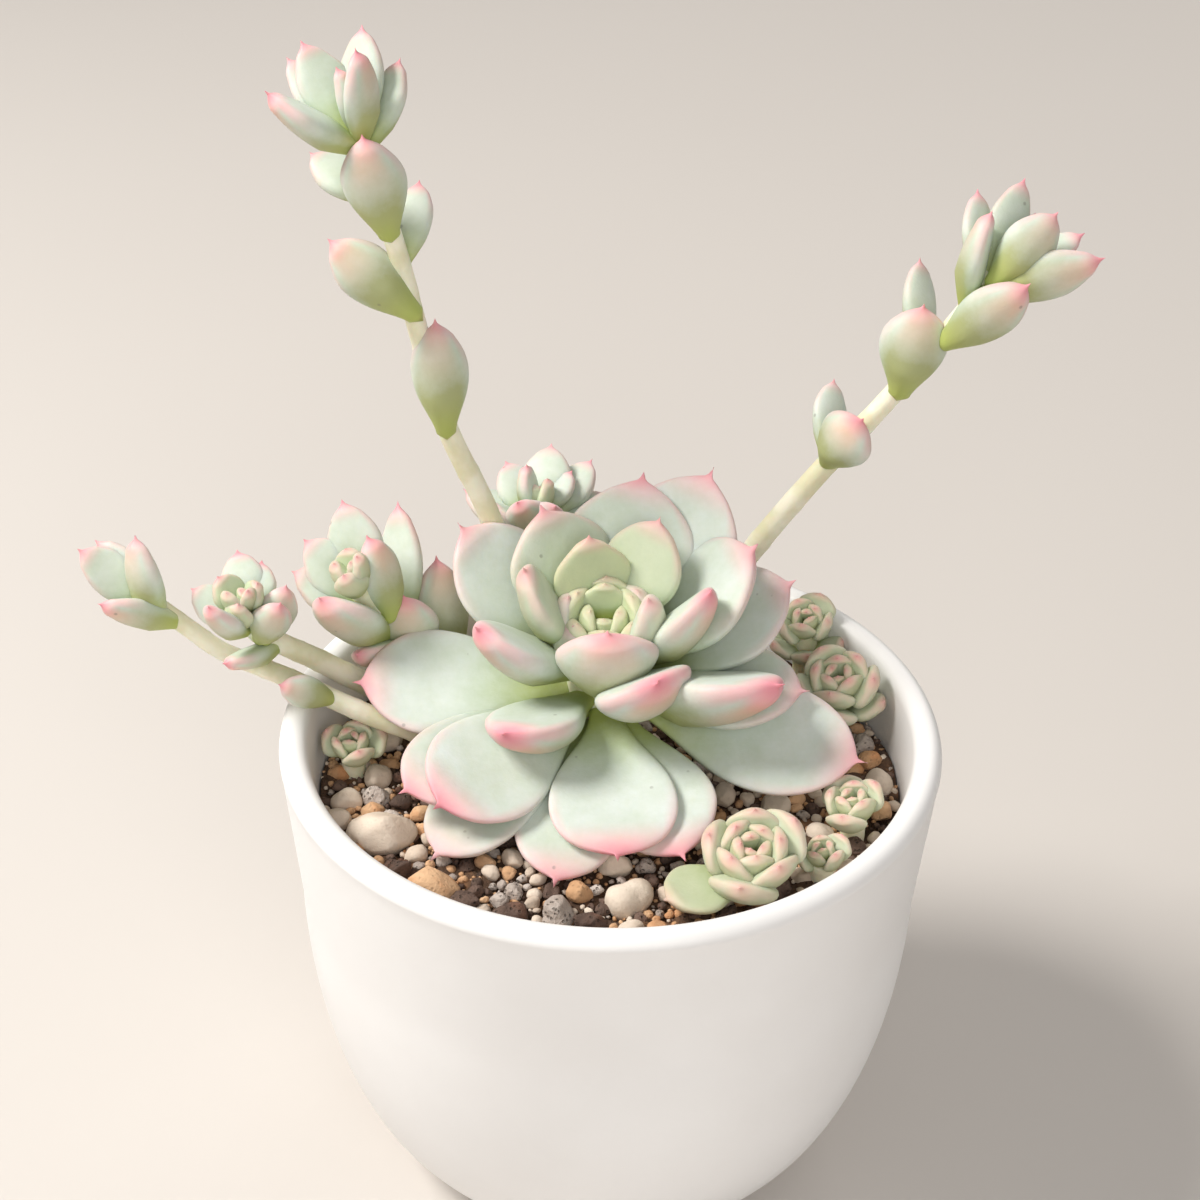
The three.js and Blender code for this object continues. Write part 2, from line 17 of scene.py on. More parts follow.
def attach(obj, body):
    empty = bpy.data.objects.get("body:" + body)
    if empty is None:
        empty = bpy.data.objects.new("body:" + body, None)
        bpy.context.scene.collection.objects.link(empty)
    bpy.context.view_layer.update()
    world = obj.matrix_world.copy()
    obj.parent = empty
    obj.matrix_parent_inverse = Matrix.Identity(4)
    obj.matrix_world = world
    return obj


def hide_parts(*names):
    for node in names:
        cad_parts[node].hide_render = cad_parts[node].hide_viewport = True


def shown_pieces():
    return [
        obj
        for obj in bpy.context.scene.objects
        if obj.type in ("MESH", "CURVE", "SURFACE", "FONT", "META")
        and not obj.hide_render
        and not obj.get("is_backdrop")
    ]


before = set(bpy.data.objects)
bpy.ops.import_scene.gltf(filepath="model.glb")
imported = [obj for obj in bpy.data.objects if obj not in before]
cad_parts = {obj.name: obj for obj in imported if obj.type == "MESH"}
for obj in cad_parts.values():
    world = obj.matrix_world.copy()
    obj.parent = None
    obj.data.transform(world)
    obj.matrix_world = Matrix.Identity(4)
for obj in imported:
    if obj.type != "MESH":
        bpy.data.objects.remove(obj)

MM = 0.001
UPRIGHT = np.array([0.0, 0.0, 1.0])
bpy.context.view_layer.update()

# %% [markdown]
# ## Camera
#
# The camera looks down on the pot at 33 degrees with a short telephoto lens. Its place was
# worked out from the ellipse of the rim. Starting with the camera means that every later
# render can be laid beside the photograph.

# %% Camera
CAMERA_AT = np.array([-1.54, -234.3, 233.2]) * MM
CAMERA_BACK = np.array([0.0, -0.8363, 0.5483])
CAMERA_ROLL = math.radians(0.91)
LENS, SENSOR = 72.0, 36.0
NEAREST, FARTHEST = 0.01, 20.0


def set_in_place(thing, across, upward, back, at):
    """Places a camera or a lamp. back points away from what it looks at."""
    rows = [[across[i], upward[i], back[i], at[i]] for i in range(3)]
    thing.matrix_world = Matrix(rows + [[0, 0, 0, 1]])
    bpy.context.scene.collection.objects.link(thing)


def make_camera():
    right = np.array([1.0, 0.0, 0.0])
    up = np.cross(CAMERA_BACK, right)
    level, tilt = math.cos(CAMERA_ROLL), math.sin(CAMERA_ROLL)
    across, upward = right * level + up * tilt, up * level - right * tilt
    data = bpy.data.cameras.new("camera")
    data.lens, data.sensor_width = LENS, SENSOR
    data.clip_start, data.clip_end = NEAREST, FARTHEST
    camera = bpy.data.objects.new("camera", data)
    set_in_place(camera, across, upward, CAMERA_BACK, CAMERA_AT)
    bpy.context.scene.camera = camera


make_camera()
print("camera", LENS, "mm lens at", [round(float(v), 3) for v in CAMERA_AT])

# %% [markdown]
# ## Meshes from arrays
#
# All the pieces are grids of points that a formula gives, so one helper turns arrays of points
# and faces into a smooth mesh object. It also stores numbers on the points, such as how far a
# point is along its leaf. The materials read those numbers, so a leaf can be green at its
# root and pink at its tip without any picture. Everything closed here is a skin: rings of
# points, with one more point to close each end.

# %% Mesh helper
def make_piece(name, points, faces, marks=None):
    mesh = bpy.data.meshes.new(name)
    mesh.from_pydata((np.asarray(points) * MM).tolist(), [], faces)
    for mark, values in (marks or {}).items():
        layer = mesh.attributes.new(mark, "FLOAT", "POINT")
        layer.data.foreach_set("value", np.asarray(values, np.float32))
    mesh.polygons.foreach_set("use_smooth", [True] * len(mesh.polygons))
    mesh.update()
    piece = bpy.data.objects.new(name, mesh)
    bpy.context.scene.collection.objects.link(piece)
    return piece


def dress(piece, node, material):
    """Hangs a piece on the root, hides the CAD node that it replaces, and gives it its material.
    """
    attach(piece, "root")
    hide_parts(node)
    piece.data.materials.append(material)
    return piece


class Heap:
    """Gathers many small closed forms that will become one mesh."""

    def __init__(self):
        self.points, self.faces, self.marks, self.count = [], [], {}, 0

    def add(self, points, faces, **marks):
        self.points.append(points)
        self.faces.extend([tuple(i + self.count for i in face) for face in faces])
        for mark, values in marks.items():
            self.marks.setdefault(mark, []).append(np.broadcast_to(values, (len(points),)))
        self.count += len(points)

    def piece(self, name):
        marks = {mark: np.concatenate(rows) for mark, rows in self.marks.items()}
        return make_piece(name, np.concatenate(self.points), self.faces, marks)


def skin_faces(rings, sides):
    """Faces of a closed skin: rings of points, then the first end and the last end."""
    faces = []
    for r in range(rings - 1):
        for k in range(sides):
            a, b = r * sides + k, r * sides + (k + 1) % sides
            faces.append((a, b, b + sides, a + sides))
    first, last, top = rings * sides, rings * sides + 1, (rings - 1) * sides
    for k in range(sides):
        following = (k + 1) % sides
        faces.append((first, following, k))
        faces.append((last, top + k, top + following))
    return faces


def all_round(sides):
    """The cosines and sines of even steps round a full turn."""
    f = 2 * np.pi * np.arange(sides) / sides
    return np.cos(f), np.sin(f)


def circle(radius, height, sides):
    """A level ring of points round the upright axis."""
    c, h = all_round(sides)
    return np.stack([radius * c, radius * h, np.full(sides, height)], 1)


def spin(profile, sides, first, last):
    """A skin that is spun round the upright axis. first and last are its end heights."""
    rings = [circle(r, z, sides) for r, z in profile]
    return np.concatenate(rings + [[(0, 0, first), (0, 0, last)]]), skin_faces(len(profile), sides)


# %% [markdown]
# ## Node helpers
#
# Materials are networks of small nodes. These helpers add a node, join sockets and make a
# reusable group, so that each finish below reads like a recipe.

# %% Node helpers
def feed(tree, value, socket):
    """Joins a socket to another, or sets a plain value on it."""
    if isinstance(value, bpy.types.NodeSocket):
        tree.links.new(value, socket)
    else:
        socket.default_value = value


def maths(tree, operation, a, b=0.0, clamp=False):
    node = tree.nodes.new("ShaderNodeMath")
    node.operation, node.use_clamp = operation, clamp
    feed(tree, a, node.inputs[0])
    feed(tree, b, node.inputs[1])
    return node.outputs[0]


def plus(tree, a, b, clamp=False):
    return maths(tree, "ADD", a, b, clamp)


def less(tree, a, b, clamp=False):
    return maths(tree, "SUBTRACT", a, b, clamp)


def times(tree, first, *others, clamp=False):
    """The product of two or more values. Only the last result is clamped."""
    for other in others[:-1]:
        first = maths(tree, "MULTIPLY", first, other)
    return maths(tree, "MULTIPLY", first, others[-1], clamp)


def step(tree, value, low, high, top=1.0):
    """A smooth step: 0 below low, top above high."""
    node = tree.nodes.new("ShaderNodeMapRange")
    node.interpolation_type = "SMOOTHSTEP"
    feed(tree, value, node.inputs["Value"])
    node.inputs["From Min"].default_value = low
    node.inputs["From Max"].default_value = high
    node.inputs["To Max"].default_value = top
    return node.outputs["Result"]


# the Mix node has a set of sockets for each kind of value; these are the ones for colours
MIX_SHARE, MIX_FIRST, MIX_SECOND, MIX_RESULT = 0, 6, 7, 2


def blend_colour(tree, share, first, second):
    node = tree.nodes.new("ShaderNodeMix")
    node.data_type = "RGBA"
    feed(tree, share, node.inputs[MIX_SHARE])
    feed(tree, first, node.inputs[MIX_FIRST])
    feed(tree, second, node.inputs[MIX_SECOND])
    return node.outputs[MIX_RESULT]


def grain(tree, where, scale, detail=3.0, roughness=0.55):
    node = tree.nodes.new("ShaderNodeTexNoise")
    feed(tree, where, node.inputs["Vector"])
    node.inputs["Scale"].default_value = scale
    node.inputs["Detail"].default_value = detail
    node.inputs["Roughness"].default_value = roughness
    return node.outputs["Fac"]


def cells(tree, where, scale):
    """How far each point is from the middle of its nearest cell."""
    node = tree.nodes.new("ShaderNodeTexVoronoi")
    feed(tree, where, node.inputs["Vector"])
    node.inputs["Scale"].default_value = scale
    return node.outputs["Distance"]


def new_group(name, inputs, outputs):
    """A node group. For each kind of socket, the labels stand in one line of words."""
    tree = bpy.data.node_groups.new(name, "ShaderNodeTree")
    for way, sockets in (("INPUT", inputs), ("OUTPUT", outputs)):
        for kind, labels in sockets.items():
            for label in labels.split():
                tree.interface.new_socket(label, in_out=way, socket_type="NodeSocket" + kind)
    given, result = tree.nodes.new("NodeGroupInput"), tree.nodes.new("NodeGroupOutput")
    return tree, given.outputs, result.inputs


def use_group(tree, group, **values):
    node = tree.nodes.new("ShaderNodeGroup")
    node.node_tree = group
    for label, value in values.items():
        feed(tree, value, node.inputs[label])
    return node.outputs


def new_material(name, roughness, **constants):
    """A material with its Principled shader. Constants go straight onto the shader."""
    material = bpy.data.materials.new(name)
    material.use_nodes = True
    tree = material.node_tree
    shader = tree.nodes["Principled BSDF"]
    shader.inputs["Roughness"].default_value = roughness
    for label, value in constants.items():
        shader.inputs[label.replace("_", " ")].default_value = value
    where = tree.nodes.new("ShaderNodeTexCoord").outputs["Object"]
    return material, tree, shader, where


def mark(tree, name):
    """Reads a number that the mesh carries on its points."""
    node = tree.nodes.new("ShaderNodeAttribute")
    node.attribute_type, node.attribute_name = "GEOMETRY", name
    return node.outputs["Fac"]


def bump(tree, shader, height, strength, distance):
    node = tree.nodes.new("ShaderNodeBump")
    node.inputs["Strength"].default_value = strength
    node.inputs["Distance"].default_value = distance
    tree.links.new(height, node.inputs["Height"])
    tree.links.new(node.outputs["Normal"], shader.inputs["Normal"])


# %% [markdown]
# ## What the leaves are coloured with
#
# The leaf of this plant is green flesh under a pale waxy bloom. The root of the leaf is
# yellow-green where the bloom is thin, the margins and the small pointed tip blush pink in
# strong light, and the underside turns peach. Near the root the undersides are painted a
# darker olive under a thinner bloom, as painted shade beneath the leaves. The young leaves
# and the old ones share this effect, so it is a node group: it takes the marks on the mesh
# and gives out a colour.

# %% Group: blushing skin
# how many cells or waves of each pattern fit in a metre
PATCHES, DUST, BLOTCHES, SPECKS, SPECK_FIELDS = 190.0, 1500.0, 260.0, 420.0, 330.0
SPECK_COLOUR = (0.16, 0.15, 0.12, 1)


def waxy_cover(tree, given, behind):
    """How thickly the bloom lies: thin at the root, thinned on the undersides as painted shade."""
    patches = less(tree, grain(tree, given["Where"], PATCHES, 4.0, 0.6), 0.5)
    dust = less(tree, grain(tree, given["Where"], DUST, 2.0, 0.6), 0.5)
    cover = times(tree, step(tree, given["Along"], 0.12, 0.6), 0.62)
    cover = plus(tree, cover, times(tree, patches, 0.9))
    cover = plus(tree, cover, times(tree, dust, 0.16))
    cover = plus(tree, cover, times(tree, given["Tone"], 0.12), clamp=True)
    # less bloom on the undersides near the root darkens them: painted shade
    return less(tree, cover, times(tree, behind, 0.42), clamp=True)


def lay_blush(tree, given, skin):
    """Lays peach on the keel, then pink on the margins and rose on the tip."""
    along, blush = given["Along"], given["Blush"]
    uneven = plus(tree, 0.55, times(tree, grain(tree, given["Where"], BLOTCHES), 0.9))
    keel = times(tree, step(tree, given["Under"], 0.6, 1.0), step(tree, along, 0.42, 0.92, 0.95))
    warmth = less(tree, blush, 0.45, clamp=True)
    skin = blend_colour(tree, times(tree, keel, uneven, warmth, clamp=True), skin, given["Peach"])
    edge = times(tree, step(tree, given["Margin"], 0.74, 1.0, 0.55), step(tree, along, 0.45, 0.95))
    pink = maths(tree, "MAXIMUM", edge, step(tree, along, 0.76, 1.0, 0.92))
    skin = blend_colour(tree, times(tree, pink, uneven, blush, clamp=True), skin, given["Pink"])
    tip = times(tree, step(tree, along, 0.88, 1.0, 0.75), uneven, blush, clamp=True)
    return blend_colour(tree, tip, skin, given["Rose"])


def lay_specks(tree, where, skin):
    """Lays a few small dark dots, in some places only."""
    dots = step(tree, less(tree, 0.13, cells(tree, where, SPECKS)), 0.0, 0.07)
    rare = step(tree, grain(tree, where, SPECK_FIELDS, 1.0), 0.6, 0.66)
    return blend_colour(tree, times(tree, dots, rare, 0.45), skin, SPECK_COLOUR)


def make_skin_group():
    tree, given, result = new_group("blushing skin", {
        "Vector": "Where", "Float": "Along Margin Under Tone Blush Young",
        "Color": "Root Flesh Back Bloom Fresh Peach Pink Rose"}, {"Color": "Colour"})
    along = given["Along"]
    near_root = step(tree, less(tree, 1.0, along), 0.1, 0.6)
    # behind is the underside near the root; the darker olive laid there is painted shade
    behind = times(tree, step(tree, given["Under"], 0.1, 0.8), near_root)
    flesh = blend_colour(tree, behind, given["Flesh"], given["Back"])
    skin = blend_colour(tree, step(tree, along, 0.0, 0.5), given["Root"], flesh)
    bloom = blend_colour(tree, given["Young"], given["Bloom"], given["Fresh"])
    skin = blend_colour(tree, waxy_cover(tree, given, behind), skin, bloom)
    skin = lay_specks(tree, given["Where"], lay_blush(tree, given, skin))
    feed(tree, skin, result["Colour"])
    return tree


blushing_skin = make_skin_group()
print("group", blushing_skin.name, "with", len(blushing_skin.nodes), "nodes")

# %% [markdown]
# ## The waxy grain
#
# The bloom is a fine wax powder, so leaves and stalks are half matt, and a little glossier
# where it has rubbed thin. A second group makes the height of that grain and the roughness
# that goes with it, for leaves and stalks alike.

# %% Group: waxy grain
FINE_WAX, BROAD_WAX = 2600.0, 320.0


def make_wax_group():
    tree, given, result = new_group(
        "waxy grain", {"Vector": "Where", "Float": "Glossy Matt"}, {"Float": "Height Roughness"})
    fine = grain(tree, given["Where"], FINE_WAX, 2.0)
    broad = grain(tree, given["Where"], BROAD_WAX)
    gain = less(tree, given["Matt"], given["Glossy"])
    feed(tree, plus(tree, times(tree, fine, 0.35), broad), result["Height"])
    feed(tree, plus(tree, given["Glossy"], times(tree, broad, gain)), result["Roughness"])
    return tree


waxy_grain = make_wax_group()
print("group", waxy_grain.name, "with", len(waxy_grain.nodes), "nodes")

# %% [markdown]
# ## Leaf and stalk finishes
#
# Both leaf finishes use the same two groups with their own colours. The flesh lets some light
# through, so each shader scatters light a little way below the surface. The offsets are
# younger and greener, and their blush is weaker. The stalks are a pale cream green that
# turns brown where they are old.

# %% Leaf and stalk materials
LEAF_MARKS = ("Along", "Margin", "Under", "Tone", "Blush", "Young")
# the olive for the undersides near the root is darker than the flesh: painted shade
SHARED = dict(Back=(0.38, 0.40, 0.20, 1), Fresh=(0.60, 0.65, 0.40, 1), Rose=(0.72, 0.22, 0.28, 1))
STALK_STREAKS = 220.0


def leaf_finish(name, colours):
    material, tree, shader, where = new_material(
        name, 0.55, Subsurface_Weight=0.22, Subsurface_Scale=0.0016, Specular_IOR_Level=0.38)
    shader.inputs["Subsurface Radius"].default_value = (1.0, 0.75, 0.45)
    marks = {label: mark(tree, label.lower()) for label in LEAF_MARKS}
    skin = use_group(tree, blushing_skin, Where=where, **marks, **SHARED, **colours)
    wax = use_group(tree, waxy_grain, Where=where, Glossy=0.42, Matt=0.66)
    feed(tree, skin["Colour"], shader.inputs["Base Color"])
    feed(tree, wax["Roughness"], shader.inputs["Roughness"])
    bump(tree, shader, wax["Height"], 0.25, 0.00025)
    return material


leaf_material = leaf_finish("glaucous leaf", dict(
    Root=(0.42, 0.48, 0.13, 1), Flesh=(0.40, 0.49, 0.32, 1), Bloom=(0.70, 0.75, 0.72, 1),
    Pink=(0.86, 0.40, 0.44, 1), Peach=(0.76, 0.40, 0.27, 1)))
young_leaf_material = leaf_finish("young leaf", dict(
    Root=(0.40, 0.45, 0.17, 1), Flesh=(0.40, 0.46, 0.26, 1), Bloom=(0.62, 0.65, 0.51, 1),
    Pink=(0.84, 0.45, 0.40, 1), Peach=(0.72, 0.47, 0.33, 1)))


def stalk_finish():
    material, tree, shader, where = new_material(
        "cream stalk", 0.55, Subsurface_Weight=0.2, Subsurface_Scale=0.0015)
    streaks = step(tree, grain(tree, where, STALK_STREAKS), 0.35, 0.65)
    colour = blend_colour(tree, streaks, (0.74, 0.71, 0.48, 1), (0.88, 0.85, 0.68, 1))
    old = blend_colour(tree, mark(tree, "old"), colour, (0.42, 0.36, 0.22, 1))
    feed(tree, old, shader.inputs["Base Color"])
    wax = use_group(tree, waxy_grain, Where=where, Glossy=0.45, Matt=0.7)
    feed(tree, wax["Roughness"], shader.inputs["Roughness"])
    bump(tree, shader, wax["Height"], 0.35, 0.0003)
    return material


stalk_material = stalk_finish()
print("finishes", leaf_material.name, young_leaf_material.name, stalk_material.name)

# %% [markdown]
# ## One leaf
#
# A leaf of this plant is spoon shaped: narrow at the root, widest beyond its middle, with a
# rounded end and a tiny pointed tip. Across, it is nearly flat on top and bulges below. It
# could be sculpted, but there are over two hundred, so a formula makes each from a row of
# sizes. The same outline is used in the CAD model, which keeps the two in agreement.

# %% Leaf builder
UPPER_SHARE = 0.36  # of the thickness, above the widest line
TIP_SHARE = 0.05  # of the length, only the pointed tip
TIP_HALF_WIDTH, TIP_LEAF_WIDTH = 1.25, 14.0  # the tip at its base, on a leaf of this width
ROOT_DEPTH = 1.2  # how far the root goes into the stem
WAVINESS, TILT, HOLLOW = 0.018, 0.0105, 0.16  # of the margins, the face and the upper side


def leaf_outline(t, point):
    """Half the width along the leaf, as a share. point is 0 for round, 1 for pointed."""
    widest, root = 0.7 - 0.18 * point, 0.26 + 0.14 * point
    swelling = np.sin(np.pi / 2 * np.minimum(t / widest, 1)) ** (2.0 - 0.9 * point)
    rising = root + (1 - root) * swelling
    u = np.clip((t - widest) / (1 - widest), 0, 1)
    closing = np.maximum(0, 1 - u ** 2.1) ** min(1.0, 0.52 + 0.55 * point)
    return np.where(t < widest, rising, closing)


def leaf_thickness(t):
    filling = 0.45 + 0.55 * np.minimum(1, t / 0.35)
    return filling * np.maximum(0, 1 - t ** 4) ** 0.6 * (1 - 0.12 * t)


def unit(v):
    return v / np.linalg.norm(v)


def leaf_sizes(share, wide, thick, point, wobble):
    """The place, half width and thickness of each ring, with the pointed tip added."""
    t = np.minimum(share / (1 - TIP_SHARE), 1)
    closing = np.clip((1 - share) / 0.13, 0, 1) ** 1.15 * np.clip((share - 0.72) / 0.15, 0, 1)
    tip = TIP_HALF_WIDTH * math.sqrt(wide / TIP_LEAF_WIDTH) * closing
    wave = 1 + WAVINESS * np.sin(2 * np.pi * (1.7 * t + wobble)) * t
    half = np.sqrt((wide / 2 * leaf_outline(t, point) * wave) ** 2 + tip ** 2)
    return t, half, np.sqrt((thick * leaf_thickness(t)) ** 2 + (1.5 * tip) ** 2)


def leaf_sections(c, h, t, half, depth, slope, gutter):
    """Places across and above the middle line: nearly flat above, full below."""
    across = half[:, None] * np.sign(c) * np.abs(c) ** 0.92
    upper = UPPER_SHARE * np.abs(h) ** 0.85
    lower = (1 - UPPER_SHARE) * (0.85 * np.abs(h) + 0.15 * np.abs(h) ** 5)
    over = depth[:, None] * np.where(h > 0, upper, -lower)
    hollow = HOLLOW * gutter * np.sin(np.pi * t) ** 0.8 * half
    return across, over + hollow[:, None] * (c ** 2 - 0.5) + slope[:, None] * c


def arc(s, curve):
    """How far forward and how far up a leaf has come after the length s."""
    if abs(curve) < 1e-6:
        return s, s * 0
    return np.sin(curve * s) / curve, (1 - np.cos(curve * s)) / curve


def grow_leaf(heap, root, along, facing, long, wide, thick, bend, roll, point,
              sides, rings, luck, blush=1.0, gutter=0.0, young=0.0):
    """Adds one leaf. luck is a row of random numbers that makes it a little uneven."""
    share = np.sin(np.pi / 2 * np.linspace(0, 1, rings + 1)[:-1]) ** 1.15
    share = np.minimum(share, 0.9985)
    c, h = all_round(sides)
    t, half, depth = leaf_sizes(share, wide, thick, point, luck[0])
    slope = TILT * wide * t * np.sin(2 * np.pi * (t + luck[1]))
    y, z = leaf_sections(c, h, t, half, depth, slope, gutter)
    turn = math.radians(roll)
    across = y * math.cos(turn) - z * math.sin(turn)
    over = y * math.sin(turn) + z * math.cos(turn)
    up = unit(facing - along * np.dot(facing, along))
    side = unit(np.cross(up, along))
    curve = math.radians(bend) / long
    forward, lift = arc(share * long, curve)
    centre = root + np.outer(forward, along) + np.outer(lift, up)
    angle = curve * share * long
    normal = np.outer(np.cos(angle), up) - np.outer(np.sin(angle), along)
    points = centre[:, None] + across[..., None] * side + over[..., None] * normal[:, None]
    reach, rise = arc(long, curve)
    ends = [root - along * ROOT_DEPTH, root + along * reach + up * rise]
    heap.add(np.concatenate([points.reshape(-1, 3), ends]), skin_faces(rings, sides),
             along=np.append(np.repeat(share, sides), [0.0, 1.0]),
             margin=np.append(np.tile(np.abs(c), rings), [0.0, 0.4]),
             under=np.append(np.tile(np.clip(-h, 0, 1), rings), [0.0, 0.0]),
             tone=luck[2], blush=blush * (0.85 + 0.3 * luck[3]), young=young)


def direction(turn, rise):
    """A way to grow: turned round from the right, then raised, in degrees."""
    turn, rise = math.radians(turn), math.radians(rise)
    level = math.cos(rise)
    return np.array([math.cos(turn) * level, math.sin(turn) * level, math.sin(rise)])


def leaning(towards, by):
    """The matrix that leans a head over towards a side."""
    towards = math.radians(towards)
    axis = (-math.sin(towards), math.cos(towards), 0)
    return np.array(Matrix.Rotation(math.radians(by), 3, axis))


print("leaf builder ready")

# %% [markdown]
# ## Stalks
#
# A stalk is a soft round tube that follows a smooth curve through a few points. The curve is
# a centripetal Catmull-Rom spline, which is what the CAD model uses, so leaves land on the
# stalk in the same places. Old leaf scars make low rings round it.

# %% Stalk builder
def spline_point(points, share):
    """A point at a share of the way along a centripetal Catmull-Rom curve."""
    last = len(points) - 1
    place = last * share
    i = min(int(place), last - 1)
    w = place - i
    p1, p2 = points[i], points[i + 1]
    p0 = points[i - 1] if i > 0 else 2 * points[0] - points[1]
    p3 = points[i + 2] if i + 2 <= last else 2 * points[last] - points[last - 1]
    d0, d1, d2 = (np.sum((b - a) ** 2) ** 0.25 for a, b in ((p0, p1), (p1, p2), (p2, p3)))
    t1 = ((p1 - p0) / d0 - (p2 - p0) / (d0 + d1) + (p2 - p1) / d1) * d1
    t2 = ((p2 - p1) / d1 - (p3 - p1) / (d1 + d2) + (p3 - p2) / d2) * d1
    return (p1 + t1 * w + (-3 * p1 + 3 * p2 - 2 * t1 - t2) * w ** 2
            + (2 * p1 - 2 * p2 + t1 + t2) * w ** 3)


def spline_way(points, share):
    """Which way the curve runs at a share of its length."""
    low, high = max(0.0, share - 1e-4), min(1.0, share + 1e-4)
    return unit(spline_point(points, high) - spline_point(points, low))


def grow_stalk(heap, points, radii, sides, rings, scars, old_until):
    """Adds one stalk. radii are at its foot and its top; it is brown up to old_until."""
    points = [np.array(p, float) for p in points]
    loops, shares = [], np.linspace(0, 1, rings)
    c, h = all_round(sides)
    for share in shares:
        centre, ahead = spline_point(points, share), spline_way(points, share)
        side = unit(np.cross((0, 1, 0.2), ahead))
        over = np.cross(ahead, side)
        ridge = 0.05 * max(0.0, math.sin(2 * math.pi * scars * share)) ** 6
        radius = (radii[0] + (radii[1] - radii[0]) * share) * (1 + ridge)
        loops.append(centre + radius * (np.outer(c, side) + np.outer(h, over)))
    ends = [spline_point(points, 0.0), spline_point(points, 1.0)]
    old = np.clip((old_until - shares) / 0.2, 0, 1)
    heap.add(np.concatenate(loops + [ends]), skin_faces(rings, sides),
             old=np.concatenate([np.repeat(old, sides), [old[0], old[-1]]]))


print("stalk builder ready")

# %% [markdown]
# ## The large rosette
#
# The big rosette leans forward over the grit. Its lowest leaves lie flat and are broad and
# old; each turn higher they are shorter and stand up more, down to a tight bud. Each row says
# where the leaf sits, how it is turned and raised, its sizes in millimetres, and how strongly
# it blushes.

# %% Large rosette leaves
# turn, rise, long, wide, thick, height on the core, bend, roll, point, blush
MAIN_LEAVES = [
    (260, 3, 26, 13, 4, 0.5, -5, 0, 0.2, 1), (233, 2, 28, 12.6, 4, 0.5, -6, 8, 0.15, 0.6),
    (221, 9, 27, 12.5, 4, 1, 0, -10, 0.2, 0.9), (290, 4, 24, 13.5, 4, 1, -5, 5, 0.2, 1),
    (274, 4, 23.8, 15.4, 4.4, 2.4, -6, 0, 0, 1), (230, 5, 26, 14.6, 4.4, 2.5, 4, -14, 0.15, 1),
    (187, 4, 26.5, 14.8, 4.4, 3, 5, -12, 0.3, 1), (337, -6, 30, 15, 4.4, 2.7, 16, 16, 0.35, 0.8),
    (348, 8, 21.5, 14, 4.4, 3.5, 5, 0, 0.45, 0.7), (16, 22, 22.5, 15.5, 4.4, 4.5, 8, 0, 0.5, 0.8),
    (147, 32, 22, 15, 4.4, 5, 10, 0, 0.5, 0.8), (53, 38, 24.7, 16.6, 4.6, 6, 10, 0, 0.6, 0.9),
    (75, 42, 20.8, 16, 4.6, 7, 10, 0, 0.6, 0.9), (100, 12, 17, 13, 4, 3, 5, 0, 0.5, 0.8),
    (235, 18, 18, 11.5, 6, 3.6, 16, 20, 0.35, 1.3),
    (332, 20, 22.5, 12.2, 7, 4.4, 16, -32, 0.35, 1.3),
    (18, 36, 21, 15, 4.8, 7, 12, 0, 0.55, 0.8), (203, 35, 17.5, 9.8, 5.8, 6.8, 16, 16, 0.45, 1.2),
    (299, 36, 13.5, 12.5, 6, 5.4, 22, 0, 0.3, 1.2), (125, 46, 17, 14, 4.6, 8.5, 12, 0, 0.7, 0.8),
    (350, 45, 16.5, 8.6, 5.4, 8, 20, -20, 0.4, 1.1),
    (54, 52, 15.2, 10.6, 4.4, 9.5, 12, 0, 0.6, 0.7),
    (178, 56, 14.5, 9, 4.8, 9, 15, 10, 0.4, 0.8), (274, 64, 12.2, 12.4, 5.8, 6.4, 28, 0, 0.3, 1),
    (108, 67, 12, 9.8, 3.6, 10.5, 12, 0, 1, 0.6), (345, 70, 10.8, 7.4, 4.8, 8.4, 18, 0, 0.5, 0.7),
    (165, 70, 7.8, 7.6, 3.6, 8.8, 22, 0, 0.6, 0.5),
    (212, 68, 7, 7.4, 3.8, 8.2, 28, 0, 0.4, 0.6), (30, 70, 7.8, 7.4, 3.6, 9, 20, 0, 0.5, 0.5),
    (88, 72, 6.6, 8, 3, 10.6, 14, 0, 0.95, 0.3)]
# The heart: turn, rise, long, wide, thick, height, distance from the middle, bend, point
HEART_LEAVES = [
    (150, 66, 5.2, 6.8, 3, 11.4, 2.7, 24, 0.5), (214, 60, 4.8, 6.4, 3.2, 10.6, 2.8, 34, 0.45),
    (22, 68, 5.2, 6.6, 3, 11.5, 2.5, 24, 0.5), (326, 60, 4.6, 6.4, 3.2, 10.8, 2.8, 34, 0.45),
    (90, 72, 5, 6, 2.4, 12.3, 1.7, 14, 1), (270, 58, 4, 5.8, 3, 11.2, 2.3, 44, 0.6),
    (190, 68, 3.4, 4.8, 2.4, 12.2, 1.3, 30, 0.6), (345, 68, 3.4, 4.8, 2.4, 12.2, 1.3, 30, 0.6),
    (265, 68, 2.6, 3.6, 2, 12.4, 0.8, 34, 0.7)]
MAIN_AT, MAIN_LEAN = np.array([-1.0, 8.0, 60.0]), leaning(270, 12)
CORE_RADIUS, CORE_TAPER = 5.0, 0.2
# radius and height of the hidden core, then the heights that close it below and above
CORE = [(4.4, -2), (5, 1), (4.5, 4), (3.8, 7), (3.1, 10.2), (2.3, 12), (1.2, 12.7)]
CORE_ENDS = (-4.0, 12.9)
FINE, COARSE = (36, 40), (26, 26)  # sides and rings of a leaf's skin
BIG_LEAF, GREEN_FROM, GREEN_OVER = 12, 7.5, 3
luck = np.random.default_rng(23)
plant_points = []


def grow_main_leaf(leaves, turn, rise, high, distance, *shape, **finish):
    """Adds a leaf at a height and a distance from the middle of the leaning core."""
    root = MAIN_LEAN @ (direction(turn, 0) * distance + UPRIGHT * high) + MAIN_AT
    way, facing = MAIN_LEAN @ direction(turn, rise), MAIN_LEAN @ UPRIGHT
    grow_leaf(leaves, root, way, facing, *shape, **finish)


